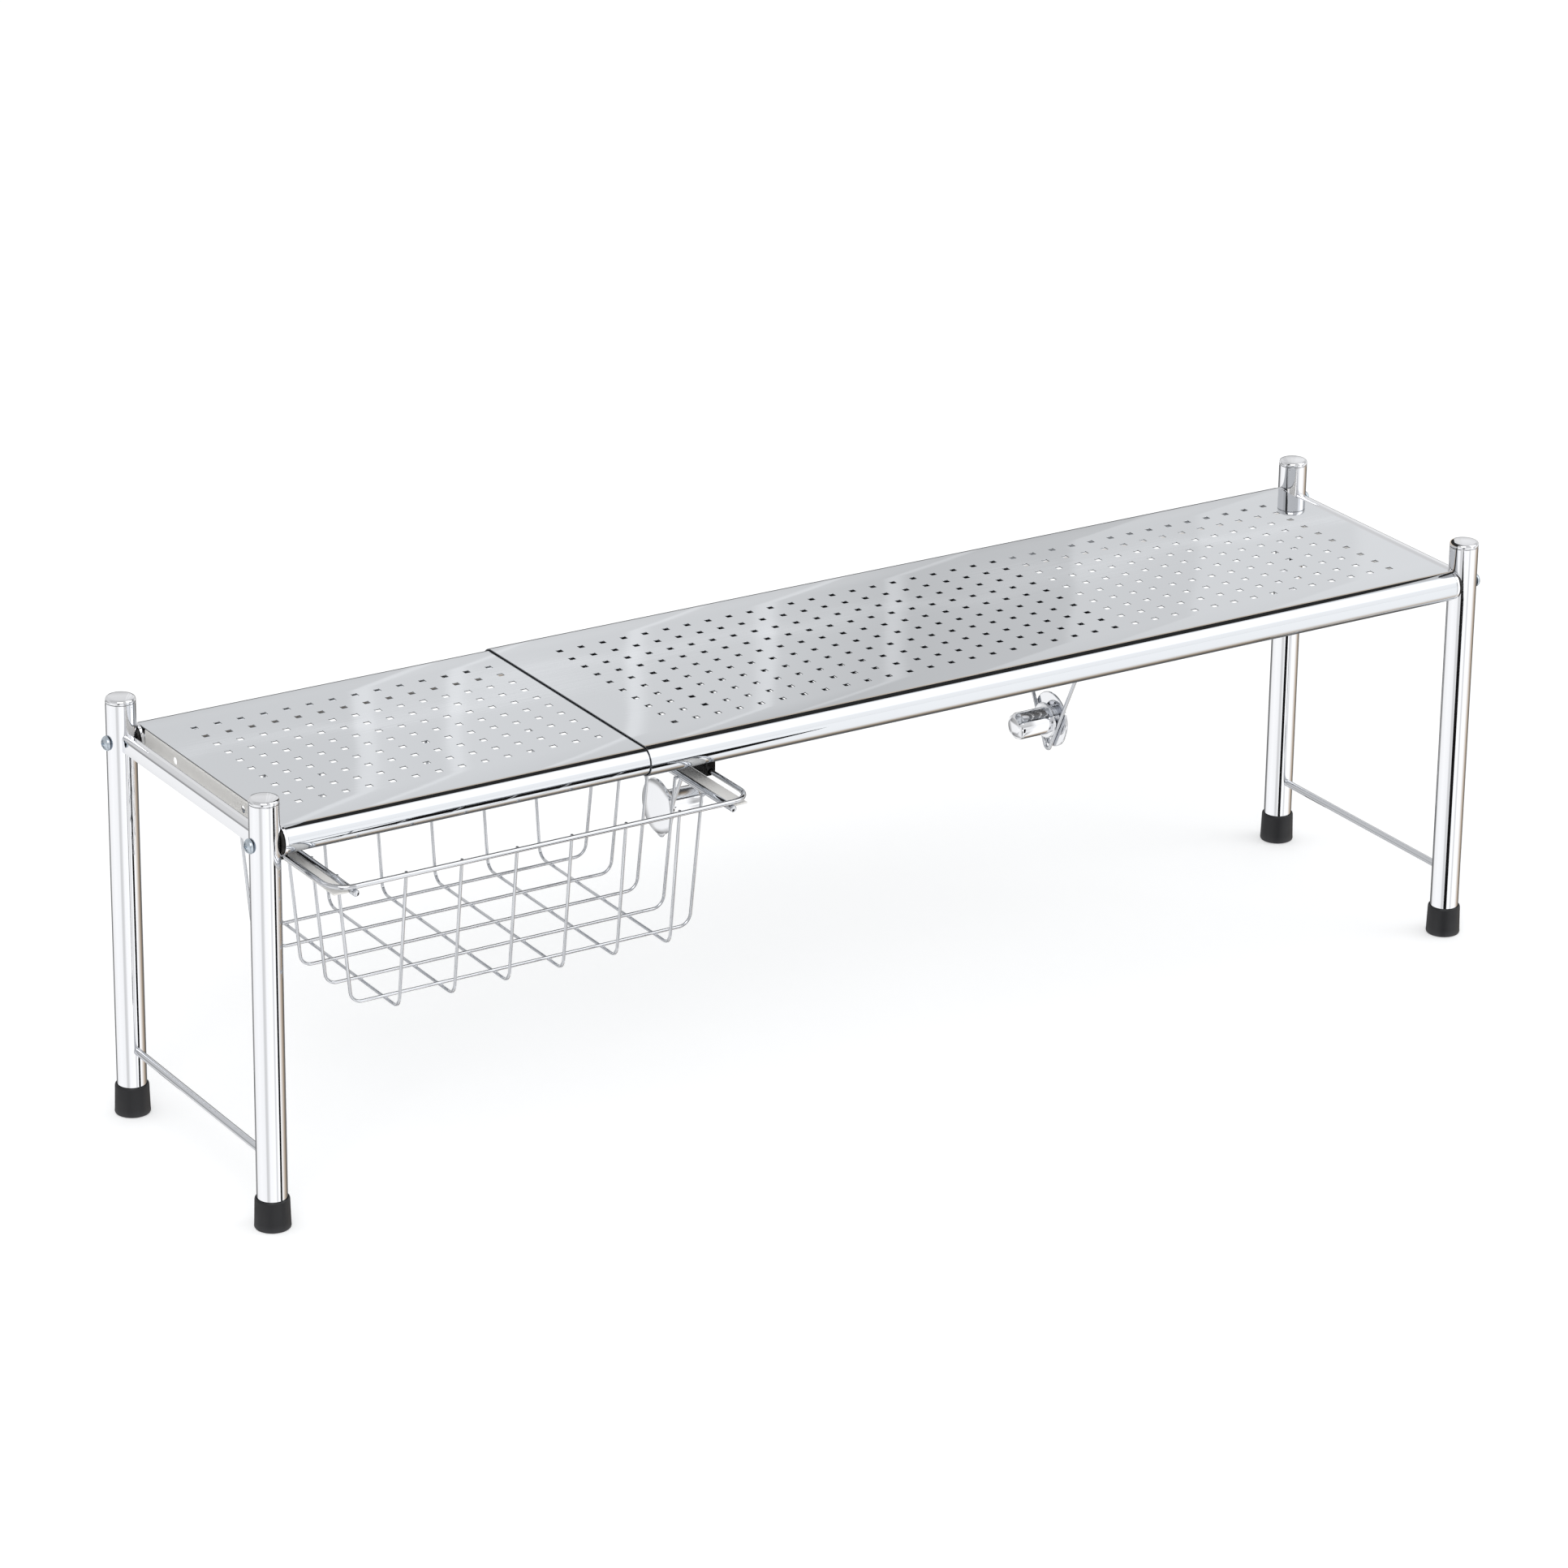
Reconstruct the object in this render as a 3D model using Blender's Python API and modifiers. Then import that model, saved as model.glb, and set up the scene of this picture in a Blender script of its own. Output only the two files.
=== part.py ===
"""Over sink shelf: two leg frames, a telescoping perforated deck, a drawn-out wire basket and a roll holder.

Metres, +Z up, X along the shelf, -Y towards the front. The origin lies on the floor, under the middle of the
whole outline with the basket drawn out.
"""

import math

import bmesh
import bpy
from mathutils import Matrix, Quaternion, Vector

# Whole shelf
LEG_SPAN = 0.888
LEG_DEPTH = 0.190
HEIGHT = 0.280
CLEARANCE = 0.0003
OVERRUN = 0.002

# Legs, their caps and feet
LEG_DIAMETER = 0.019
LEG_WALL = 0.001
CAP_THICKNESS = 0.003
CAP_ROUNDING = 0.0012
CAP_PLUG_LENGTH = 0.010
FOOT_HEIGHT = 0.020
FOOT_FLOOR = 0.003
FOOT_TOP_DIAMETER = 0.0215
FOOT_BOTTOM_DIAMETER = 0.0228
FOOT_CHAMFER = 0.0008

# Leg screws
SHANK_DIAMETER = 0.0040
SHANK_LENGTH = 0.030
HEAD_DIAMETER = 0.0095
HEAD_HEIGHT = 0.0032
SCREW_HOLE_DIAMETER = 0.0048

# Cross bars and lower rods of the two leg frames
BAR_WIDTH = 0.008
BAR_HEIGHT = 0.0105
BAR_RISE = 0.0065
BAR_ROUNDING = 0.003
ROD_DIAMETER = 0.0048
ROD_HEIGHT = 0.045

# Decks with their rolled edges
SHEET = 0.0008
RAIL_DIAMETER = 0.020
RAIL_DROP = 0.029
RAIL_WRAP = math.radians(300)
END_INSET = 0.0114
OUTER_DECK_LENGTH = 0.6171
INNER_DECK_LENGTH = 0.622
HOLE_SIZE = 0.0036
HOLE_ROWS = 10
HOLE_BACK_MARGIN = 0.02435
OUTER_PITCH = (0.0157, 0.0157)
OUTER_HOLE_MARGIN = 0.031
INNER_PITCH = (0.0159, 0.0152)
INNER_HOLE_MARGIN = 0.0265
FLANGE_HOLE_DIAMETER = 0.005
FLANGE_HOLE_SPACING = 0.092
FLANGE_HOLE_DROP = 0.005

# End plugs between the rolled edges and the legs
COLLAR_DIAMETER = 0.0185
COLLAR_LENGTH = 0.0042
SEAT_LENGTH = 0.003
SPIGOT_LENGTH = 0.014

# Wire basket
BASKET_INSET = 0.166
BASKET_REACH = 0.140
RIM_WIDTH = 0.289
RIM_DEPTH = 0.188
RIM_DROP = 0.019
RIM_DIAMETER = 0.0032
RIM_CORNER = 0.015
BASKET_DROP = 0.092
BASKET_LEAN = 0.014
WIRE_DIAMETER = 0.0020
WIRE_BEND = 0.008
LONG_WIRES = 6
LONG_WIRE_PITCH = 0.0377
CROSS_WIRES = 5
CROSS_WIRE_PITCH = 0.032
CROSS_WIRE_SETBACK = 0.030
BASKET_FLOOR_INSET = 0.0265
SIDE_ROD_INSET = 0.0145
SIDE_ROD_DIAMETER = 0.0044
SIDE_ROD_FRONT = 0.0018
SIDE_ROD_BACK = 0.002
STRIP_LENGTH = 0.075
STRIP_THICKNESS = 0.0012

# Guides that the rim's side wires slide in
GUIDE_LENGTH = 0.051
GUIDE_SETBACK = 0.004
GUIDE_BORE_DIAMETER = 0.004
GUIDE_FLOOR = 0.0008
GUIDE_SIDE_WALL = 0.0012
GUIDE_RAIL_GAP = 0.0005
GUIDE_STEM_GAP = 0.001

# Roll holder
HOLDER_INSETS = (0.329, 0.625)
HOLDER_WIRE_DIAMETER = 0.0025
CROOK_BEND = 0.003
HOLDER_WIRE_TAIL = 0.010
PIVOT_SPAN = 0.1015
PIVOT_DROP = 0.0048
BRACKET_WIDTH = 0.010
BRACKET_SHEET = 0.0012
EAR_GAP = 0.0055
EAR_DROP = 0.0085
HANGER_DROP = 0.105
ROLL_AXIS_DROP = 0.0808
DISC_DIAMETER = 0.037
DISC_THICKNESS = 0.0025
DISC_ROUNDING = 0.0008
KEEPER_DIAMETER = 0.024
KEEPER_THICKNESS = 0.002
HUB_DIAMETER = 0.018
HUB_LENGTH = 0.024
HUB_NOSE = 0.003

# Facet counts and the distances that neighbouring points are joined at
TUBE_SIDES = 20
SMALL_SIDES = 12
ARC_STEPS = 2
RAIL_STEPS = 15
MERGE_DISTANCE = 0.000001
TURN_MERGE_DISTANCE = 0.00001

# Outline shares
HEAD_SHARES = ((0.55, 1.0), (0.88, 0.74), (1.0, 0.38))

# Places that follow from the sizes
LEG_RADIUS = LEG_DIAMETER / 2
RIM_RADIUS = RIM_DIAMETER / 2
WIRE_RADIUS = WIRE_DIAMETER / 2
SIDE_ROD_RADIUS = SIDE_ROD_DIAMETER / 2
HOLDER_WIRE_RADIUS = HOLDER_WIRE_DIAMETER / 2
FRONT_REACH = BASKET_REACH + SIDE_ROD_FRONT
BACK_REACH = LEG_DEPTH / 2 + FOOT_BOTTOM_DIAMETER / 2
SHELF_Y = (FRONT_REACH - BACK_REACH) / 2
RAIL_HEIGHT = HEIGHT - RAIL_DROP
BAR_TOP = RAIL_HEIGHT + BAR_RISE
RIM_HEIGHT = RAIL_HEIGHT - RIM_DROP
DECK_END = LEG_SPAN / 2 - END_INSET
BASKET_X = BASKET_INSET - LEG_SPAN / 2
HOLDER_X = [inset - LEG_SPAN / 2 for inset in HOLDER_INSETS]
OUTER_RADIUS = RAIL_DIAMETER / 2
INNER_RADIUS = OUTER_RADIUS - SHEET - CLEARANCE
INNER_UNDERSIDE = RAIL_HEIGHT + INNER_RADIUS - SHEET
SIDE_ROD_HEIGHT = RIM_HEIGHT - RIM_RADIUS - SIDE_ROD_RADIUS - CLEARANCE
FLOOR_HEIGHT = RIM_HEIGHT - BASKET_DROP
BASKET_FLOOR_WIDTH = RIM_WIDTH - 2 * BASKET_FLOOR_INSET
SIDE_ROD_SPAN = RIM_WIDTH - 2 * SIDE_ROD_INSET
PIVOT_HEIGHT = INNER_UNDERSIDE - PIVOT_DROP

# Edges of a basket guide: across from the basket's middle, back from the shelf's middle, and heights
GUIDE_INNER = (RIM_WIDTH - GUIDE_BORE_DIAMETER) / 2 - GUIDE_SIDE_WALL
GUIDE_OUTER = (RIM_WIDTH + GUIDE_BORE_DIAMETER) / 2 + GUIDE_SIDE_WALL
GUIDE_FRONT = -LEG_DEPTH / 2 + GUIDE_SETBACK
GUIDE_BACK = GUIDE_FRONT + GUIDE_LENGTH
GUIDE_STEM_FRONT = -LEG_DEPTH / 2 + OUTER_RADIUS + GUIDE_STEM_GAP
GUIDE_BOTTOM = RIM_HEIGHT - GUIDE_BORE_DIAMETER / 2 - GUIDE_FLOOR
GUIDE_TOP = RAIL_HEIGHT - OUTER_RADIUS - GUIDE_RAIL_GAP

LEFT, RIGHT = -1, 1
FRONT, BACK = -1, 1
SIDE_NAMES = {LEFT: "left", RIGHT: "right"}
DEPTH_NAMES = {FRONT: "front", BACK: "back"}

# Turns that lay a profile's own Z, or an outline's own plane, along the shelf
ALONG_X = Matrix(((0, 0, 1), (0, 1, 0), (-1, 0, 0))).to_4x4()
AGAINST_X = Matrix(((0, 0, -1), (0, 1, 0), (1, 0, 0))).to_4x4()
ALONG_Y = Matrix(((1, 0, 0), (0, 0, 1), (0, -1, 0))).to_4x4()
YZ_PLANE = Matrix(((0, 0, 1), (1, 0, 0), (0, 1, 0))).to_4x4()


def clear_scene():
    for item in list(bpy.data.objects):
        bpy.data.objects.remove(item, do_unlink=True)


def make_collection(name):
    collection = bpy.data.collections.new(name)
    bpy.context.scene.collection.children.link(collection)
    return collection


def make_material(name, colour, roughness, metallic):
    material = bpy.data.materials.new(name)
    material.use_nodes = True
    shader = material.node_tree.nodes["Principled BSDF"]
    shader.inputs["Base Color"].default_value = (*colour, 1.0)
    shader.inputs["Roughness"].default_value = roughness
    shader.inputs["Metallic"].default_value = metallic
    return material


clear_scene()
PARTS = make_collection("over_sink_shelf")
CUTTERS = make_collection("cutters")
CHROME = make_material("chrome", (0.78, 0.79, 0.80), 0.08, 1.0)
STAINLESS = make_material("stainless", (0.62, 0.63, 0.65), 0.25, 1.0)
ZINC = make_material("zinc", (0.66, 0.69, 0.72), 0.30, 1.0)
RUBBER = make_material("rubber", (0.02, 0.02, 0.025), 0.60, 0.0)
PLASTIC = make_material("plastic", (0.05, 0.045, 0.04), 0.40, 0.0)


def finish(item, material, collection=None):
    """Puts a new object in its collection, under its material, shaded smooth up to sharp edges."""
    (collection or PARTS).objects.link(item)
    item.data.materials.append(material)
    if item.type == "MESH":
        item.data.shade_smooth()
        item.data.set_sharp_from_angle(angle=math.radians(35))
    return item


def mesh_object(name, shape, material, turn=None, place=(0, 0, 0)):
    mesh = bpy.data.meshes.new(name)
    shape.to_mesh(mesh)
    shape.free()
    item = bpy.data.objects.new(name, mesh)
    item.matrix_world = Matrix.Translation(place) @ (turn or Matrix.Identity(4))
    return finish(item, material)


def box(name, low, high, material):
    """A block between two corners, with its origin at its middle."""
    low, high = Vector(low), Vector(high)
    shape = bmesh.new()
    bmesh.ops.create_cube(shape, size=1.0)
    bmesh.ops.scale(shape, vec=high - low, verts=shape.verts)
    return mesh_object(name, shape, material, place=(low + high) / 2)


def turned(name, profile, material, turn=None, place=(0, 0, 0), sides=TUBE_SIDES, ring=False):
    """A profile of (radius, height) turned about its own Z; a ring's profile closes on itself."""
    shape = bmesh.new()
    points = [shape.verts.new((radius, 0, height)) for radius, height in profile]
    for start, end in zip(points, points[1:]):
        shape.edges.new((start, end))
    if ring:
        shape.edges.new((points[-1], points[0]))
    item = mesh_object(name, shape, material, turn, place)
    screw = item.modifiers.new("turn", "SCREW")
    screw.steps = sides
    screw.render_steps = sides
    screw.use_merge_vertices = True
    screw.merge_threshold = TURN_MERGE_DISTANCE
    screw.use_smooth_shade = True
    return item


def extruded(name, outline, length, material, plane, place=(0, 0, 0)):
    """A closed flat outline pushed out by half its length to each side of its plane."""
    area = sum(x0 * y1 - x1 * y0 for (x0, y0), (x1, y1) in zip(outline, outline[1:] + outline[:1]))
    if area < 0:
        outline = outline[::-1]
    curve = bpy.data.curves.new(name, "CURVE")
    curve.dimensions = "2D"
    curve.fill_mode = "BOTH"
    curve.extrude = length / 2
    spline = curve.splines.new("POLY")
    spline.points.add(len(outline) - 1)
    for point, (x, y) in zip(spline.points, outline):
        point.co = (x, y, 0, 1)
    spline.use_cyclic_u = True
    item = bpy.data.objects.new(name, curve)
    item.matrix_world = Matrix.Translation(place) @ plane
    return as_mesh(finish(item, material))


def wire(name, path, diameter, material, sides=6, closed=False):
    """A round wire along a path of points, capped at its ends unless it closes."""
    curve = bpy.data.curves.new(name, "CURVE")
    curve.dimensions = "3D"
    curve.bevel_depth = diameter / 2
    curve.bevel_resolution = (sides - 4) // 2
    curve.use_fill_caps = not closed
    spline = curve.splines.new("POLY")
    spline.points.add(len(path) - 1)
    for point, place in zip(spline.points, path):
        point.co = (*place, 1)
    spline.use_cyclic_u = closed
    return finish(bpy.data.objects.new(name, curve), material)


def as_mesh(item):
    """Turns a curve object into a closed mesh object of the same name and place."""
    bpy.context.view_layer.update()
    name = item.name
    mesh = bpy.data.meshes.new_from_object(item.evaluated_get(bpy.context.evaluated_depsgraph_get()))
    place = item.matrix_world.copy()
    bpy.data.objects.remove(item, do_unlink=True)
    shape = bmesh.new()
    shape.from_mesh(mesh)
    bmesh.ops.remove_doubles(shape, verts=shape.verts, dist=MERGE_DISTANCE)
    shape.to_mesh(mesh)
    shape.free()
    mesh.name = name
    solid = bpy.data.objects.new(name, mesh)
    solid.matrix_world = place
    PARTS.objects.link(solid)
    return solid


def as_cutter(item):
    """Moves an object to the cutters, which are drawn as wires and never rendered."""
    PARTS.objects.unlink(item)
    CUTTERS.objects.link(item)
    item.hide_render = True
    item.display_type = "WIRE"
    return item


def combine(item, other, operation):
    boolean = item.modifiers.new(operation.lower(), "BOOLEAN")
    boolean.operation = operation
    boolean.solver = "EXACT"
    boolean.object = other
    return item


def arc(centre, radius, start, sweep, steps):
    """Points (x, y) on an arc, angles from +X turning towards +Y."""
    angles = [start + sweep * step / steps for step in range(steps + 1)]
    return [(centre[0] + radius * math.cos(angle), centre[1] + radius * math.sin(angle)) for angle in angles]


def rounded(path, radius, steps=ARC_STEPS, closed=False):
    """The same path with each corner replaced by an arc of the given radius."""
    path = [Vector(place) for place in path]
    inner = range(len(path)) if closed else range(1, len(path) - 1)
    result = [] if closed else [path[0]]
    for index in inner:
        corner = path[index]
        back = (path[index - 1] - corner).normalized()
        ahead = (path[(index + 1) % len(path)] - corner).normalized()
        opening = back.angle(ahead)
        centre = corner + (back + ahead).normalized() * (radius / math.sin(opening / 2))
        first = corner + back * (radius / math.tan(opening / 2)) - centre
        spin = Quaternion(back.cross(ahead), -(math.pi - opening) / steps)
        for _ in range(steps + 1):
            result.append(centre + first)
            first = spin @ first
    if not closed:
        result.append(path[-1])
    return result


def leg_place(side, depth):
    return Vector((side * LEG_SPAN / 2, SHELF_Y + depth * LEG_DEPTH / 2, 0))


def corner_name(side, depth, piece):
    return f"{SIDE_NAMES[side]}_{DEPTH_NAMES[depth]}_{piece}"


def make_leg_cutter(side, depth):
    """The space that a leg needs, which the pieces seated against it are cut back from."""
    radius = LEG_RADIUS + CLEARANCE
    profile = [(0, HEIGHT), (radius, HEIGHT), (radius, 0), (0, 0)]
    return as_cutter(turned(corner_name(side, depth, "leg_space"), profile, CHROME, place=leg_place(side, depth)))


def make_screw_cutter(side, depth):
    radius = SCREW_HOLE_DIAMETER / 2
    reach = LEG_RADIUS + OVERRUN
    profile = [(0, reach), (radius, reach), (radius, -reach), (0, -reach)]
    place = leg_place(side, depth) + Vector((0, 0, RAIL_HEIGHT))
    name = corner_name(side, depth, "screw_space")
    return as_cutter(turned(name, profile, CHROME, ALONG_X, place, SMALL_SIDES))


def make_leg(side, depth):
    """A tube with one cross hole for its screw, and the cap and foot on its ends."""
    top = HEIGHT - CAP_THICKNESS - CLEARANCE
    bottom = FOOT_FLOOR + CLEARANCE
    bore = LEG_RADIUS - LEG_WALL
    profile = [(LEG_RADIUS, top), (LEG_RADIUS, bottom), (bore, bottom), (bore, top)]
    place = leg_place(side, depth)
    leg = turned(corner_name(side, depth, "leg"), profile, CHROME, place=place, ring=True)
    combine(leg, make_screw_cutter(side, depth), "DIFFERENCE")
    return [leg, make_cap(side, depth, place), make_foot(side, depth, place)]


def make_cap(side, depth, place):
    under = HEIGHT - CAP_THICKNESS
    plug = LEG_RADIUS - LEG_WALL - CLEARANCE
    bend = (LEG_RADIUS - CAP_ROUNDING, HEIGHT - CAP_ROUNDING)
    shoulder = arc(bend, CAP_ROUNDING, math.pi / 2, -math.pi / 2, ARC_STEPS)
    profile = [(0, HEIGHT), *shoulder, (LEG_RADIUS, under), (plug, under)]
    profile += [(plug, under - CAP_PLUG_LENGTH), (0, under - CAP_PLUG_LENGTH)]
    return turned(corner_name(side, depth, "leg_cap"), profile, CHROME, place=place)


def make_foot(side, depth, place):
    bore = LEG_RADIUS + CLEARANCE
    base = FOOT_BOTTOM_DIAMETER / 2
    profile = [(0, FOOT_FLOOR), (bore, FOOT_FLOOR), (bore, FOOT_HEIGHT), (FOOT_TOP_DIAMETER / 2, FOOT_HEIGHT)]
    profile += [(base, FOOT_CHAMFER), (base - FOOT_CHAMFER, 0), (0, 0)]
    return turned(corner_name(side, depth, "foot"), profile, RUBBER, place=place)


def make_leg_screw(side, depth):
    """A pan-head screw from the outer face of the leg into the end plug."""
    radius = HEAD_DIAMETER / 2
    shank = SHANK_DIAMETER / 2
    crown = [(radius * across, HEAD_HEIGHT * up) for across, up in HEAD_SHARES]
    profile = [(0, HEAD_HEIGHT), *crown, (radius, 0), (shank, 0), (shank, -SHANK_LENGTH), (0, -SHANK_LENGTH)]
    place = leg_place(side, depth) + Vector((side * (LEG_RADIUS + CLEARANCE), 0, RAIL_HEIGHT))
    turn = ALONG_X if side == RIGHT else AGAINST_X
    return turned(corner_name(side, depth, "leg_screw"), profile, ZINC, turn, place, SMALL_SIDES)


def make_end_plug(side, depth, rail_radius, leg_cutter):
    """A plastic plug in the mouth of a rolled edge, its collar cut to the round of the leg."""
    collar = COLLAR_DIAMETER / 2
    seat = rail_radius - SHEET - CLEARANCE
    spigot = INNER_RADIUS - SHEET - 2 * CLEARANCE
    bore = SCREW_HOLE_DIAMETER / 2
    profile = [(collar, COLLAR_LENGTH), (collar, 0), (seat, 0), (seat, -SEAT_LENGTH)]
    profile += [(spigot, -SEAT_LENGTH), (spigot, -SPIGOT_LENGTH), (bore, -SPIGOT_LENGTH), (bore, COLLAR_LENGTH)]
    place = leg_place(side, depth)
    place.x = side * (DECK_END + CLEARANCE)
    place.z = RAIL_HEIGHT
    turn = ALONG_X if side == RIGHT else AGAINST_X
    name = corner_name(side, depth, "end_plug")
    plug = turned(name, profile, PLASTIC, turn, place, ring=True)
    return combine(plug, leg_cutter, "DIFFERENCE")


def make_cross_bar(side, leg_cutters):
    """The flat bar with a rounded top between the two legs of a frame."""
    x = side * LEG_SPAN / 2
    low = (x - BAR_WIDTH / 2, SHELF_Y - LEG_DEPTH / 2, BAR_TOP - BAR_HEIGHT)
    high = (x + BAR_WIDTH / 2, SHELF_Y + LEG_DEPTH / 2, BAR_TOP)
    bar = box(f"{SIDE_NAMES[side]}_cross_bar", low, high, CHROME)
    shape = bmesh.new()
    shape.from_mesh(bar.data)
    tops = [edge for edge in shape.edges if all(vert.co.z > 0 for vert in edge.verts)]
    top_edges = [edge for edge in tops if edge.verts[0].co.x == edge.verts[1].co.x]
    bmesh.ops.bevel(shape, geom=top_edges, offset=BAR_ROUNDING, segments=ARC_STEPS, profile=0.5, affect="EDGES")
    shape.to_mesh(bar.data)
    shape.free()
    for cutter in leg_cutters:
        combine(bar, cutter, "DIFFERENCE")
    return bar


def make_lower_rod(side, leg_cutters):
    x = side * LEG_SPAN / 2
    ends = [Vector((x, SHELF_Y + depth * LEG_DEPTH / 2, ROD_HEIGHT)) for depth in (FRONT, BACK)]
    rod = as_mesh(wire(f"{SIDE_NAMES[side]}_lower_rod", ends, ROD_DIAMETER, CHROME, sides=8))
    for cutter in leg_cutters:
        combine(rod, cutter, "DIFFERENCE")
    return rod


def hole_cutter(name, side, margin, pitch, columns):
    """One mesh of square punches in straight rows and columns, from the leg end and from the back."""
    shape = bmesh.new()
    middle = RAIL_HEIGHT + INNER_RADIUS
    tall = 2 * (SHEET + OVERRUN)
    back = SHELF_Y + LEG_DEPTH / 2 - HOLE_BACK_MARGIN
    for column in range(columns):
        for row in range(HOLE_ROWS):
            x = side * (DECK_END - margin - column * pitch[0])
            place = Matrix.Translation((x, back - row * pitch[1], middle))
            punch = bmesh.ops.create_cube(shape, size=1.0)["verts"]
            bmesh.ops.scale(shape, vec=(HOLE_SIZE, HOLE_SIZE, tall), verts=punch)
            bmesh.ops.transform(shape, matrix=place, verts=punch)
    return as_cutter(mesh_object(name, shape, STAINLESS))


def make_deck(name, side, length, radius, margin, pitch, columns):
    """A flat perforated sheet, its outer end by the legs and its inner end at the seam."""
    near, far = side * DECK_END, side * (DECK_END - length)
    top = RAIL_HEIGHT + radius
    low = (min(near, far), SHELF_Y - LEG_DEPTH / 2, top - SHEET)
    high = (max(near, far), SHELF_Y + LEG_DEPTH / 2, top)
    deck = box(name, low, high, STAINLESS)
    return combine(deck, hole_cutter(f"{name}_punches", side, margin, pitch, columns), "DIFFERENCE")


def make_rail(name, side, depth, length, radius):
    """The rolled edge of a deck, curled down and back under it, open towards the deck."""
    start = math.pi / 2 + CLEARANCE / radius
    outer = arc((0, 0), radius, start, RAIL_WRAP, RAIL_STEPS)
    inner = arc((0, 0), radius - SHEET, start, RAIL_WRAP, RAIL_STEPS)
    outline = [(-depth * y, z) for y, z in outer + inner[::-1]]
    place = (side * (DECK_END - length / 2), SHELF_Y + depth * LEG_DEPTH / 2, RAIL_HEIGHT)
    return extruded(name, outline, length, STAINLESS, YZ_PLANE, place)


def make_end_flange(name, side, radius):
    """The turned-down end of a deck between its rolled edges, with two small holes."""
    half = LEG_DEPTH / 2 - radius - CLEARANCE
    top = RAIL_HEIGHT + radius - SHEET - CLEARANCE
    inner, outer = side * (DECK_END - SHEET), side * DECK_END
    low = (min(inner, outer), SHELF_Y - half, RAIL_HEIGHT - radius)
    high = (max(inner, outer), SHELF_Y + half, top)
    flange = box(name, low, high, STAINLESS)
    hole = FLANGE_HOLE_DIAMETER / 2
    profile = [(0, OVERRUN), (hole, OVERRUN), (hole, -OVERRUN), (0, -OVERRUN)]
    for depth in (FRONT, BACK):
        place = (side * DECK_END, SHELF_Y + depth * FLANGE_HOLE_SPACING / 2, top - FLANGE_HOLE_DROP)
        cutter = turned(f"{name}_{DEPTH_NAMES[depth]}_hole", profile, STAINLESS, ALONG_X, place, SMALL_SIDES)
        combine(flange, as_cutter(cutter), "DIFFERENCE")
    return flange


def make_shelf_half(side, name, length, radius, margin, pitch, columns):
    """One deck with its rolled edges and end flange."""
    pieces = [make_deck(f"{name}_deck", side, length, radius, margin, pitch, columns)]
    for depth in (FRONT, BACK):
        pieces.append(make_rail(f"{name}_{DEPTH_NAMES[depth]}_rail", side, depth, length, radius))
    return pieces + [make_end_flange(f"{name}_end_flange", side, radius)]


def make_leg_frame(side, rail_radius):
    """Two legs with their caps, feet, screws and plugs, and the bar and rod between them."""
    cutters = {depth: make_leg_cutter(side, depth) for depth in (FRONT, BACK)}
    pieces = [make_cross_bar(side, cutters.values()), make_lower_rod(side, cutters.values())]
    for depth in (FRONT, BACK):
        pieces += make_leg(side, depth)
        pieces += [make_leg_screw(side, depth), make_end_plug(side, depth, rail_radius, cutters[depth])]
    return pieces


def basket_y(from_rim):
    """World Y of a place measured back from the front rim wire."""
    return SHELF_Y - BASKET_REACH + from_rim


def make_rim():
    half = RIM_WIDTH / 2
    corners = [(BASKET_X - half, basket_y(0)), (BASKET_X + half, basket_y(0))]
    corners += [(BASKET_X + half, basket_y(RIM_DEPTH)), (BASKET_X - half, basket_y(RIM_DEPTH))]
    path = rounded([(x, y, RIM_HEIGHT) for x, y in corners], RIM_CORNER, closed=True)
    return wire("basket_rim", path, RIM_DIAMETER, CHROME, sides=8, closed=True)


def make_long_wire(index):
    """A front-to-back wire, from the front rim under the floor to the back rim."""
    x = BASKET_X + (index - (LONG_WIRES - 1) / 2) * LONG_WIRE_PITCH
    inside = RIM_RADIUS + WIRE_RADIUS + CLEARANCE
    top = RIM_HEIGHT + WIRE_RADIUS
    path = [(x, basket_y(inside), top), (x, basket_y(BASKET_LEAN), FLOOR_HEIGHT)]
    path += [(x, basket_y(RIM_DEPTH - BASKET_LEAN), FLOOR_HEIGHT), (x, basket_y(RIM_DEPTH - inside), top)]
    return wire(f"basket_long_wire_{index + 1}", rounded(path, WIRE_BEND), WIRE_DIAMETER, CHROME)


def make_cross_wire(index):
    """A side-to-side wire, from one side rod over the long wires to the other."""
    y = basket_y(CROSS_WIRE_SETBACK + index * CROSS_WIRE_PITCH)
    top_half = SIDE_ROD_SPAN / 2 - SIDE_ROD_RADIUS - WIRE_RADIUS - CLEARANCE
    floor = FLOOR_HEIGHT + WIRE_DIAMETER + CLEARANCE
    ends = [(LEFT * top_half, SIDE_ROD_HEIGHT), (LEFT * BASKET_FLOOR_WIDTH / 2, floor)]
    ends += [(-x, z) for x, z in reversed(ends)]
    path = [(BASKET_X + x, y, z) for x, z in ends]
    return wire(f"basket_cross_wire_{index + 1}", rounded(path, WIRE_BEND), WIRE_DIAMETER, CHROME)


def make_side_rod(side):
    """The stout straight rod under the rim that carries the cross wires."""
    x = BASKET_X + side * SIDE_ROD_SPAN / 2
    path = [(x, basket_y(y), SIDE_ROD_HEIGHT) for y in (-SIDE_ROD_FRONT, RIM_DEPTH + SIDE_ROD_BACK)]
    return wire(f"basket_{SIDE_NAMES[side]}_side_rod", path, SIDE_ROD_DIAMETER, CHROME, sides=10)


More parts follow.
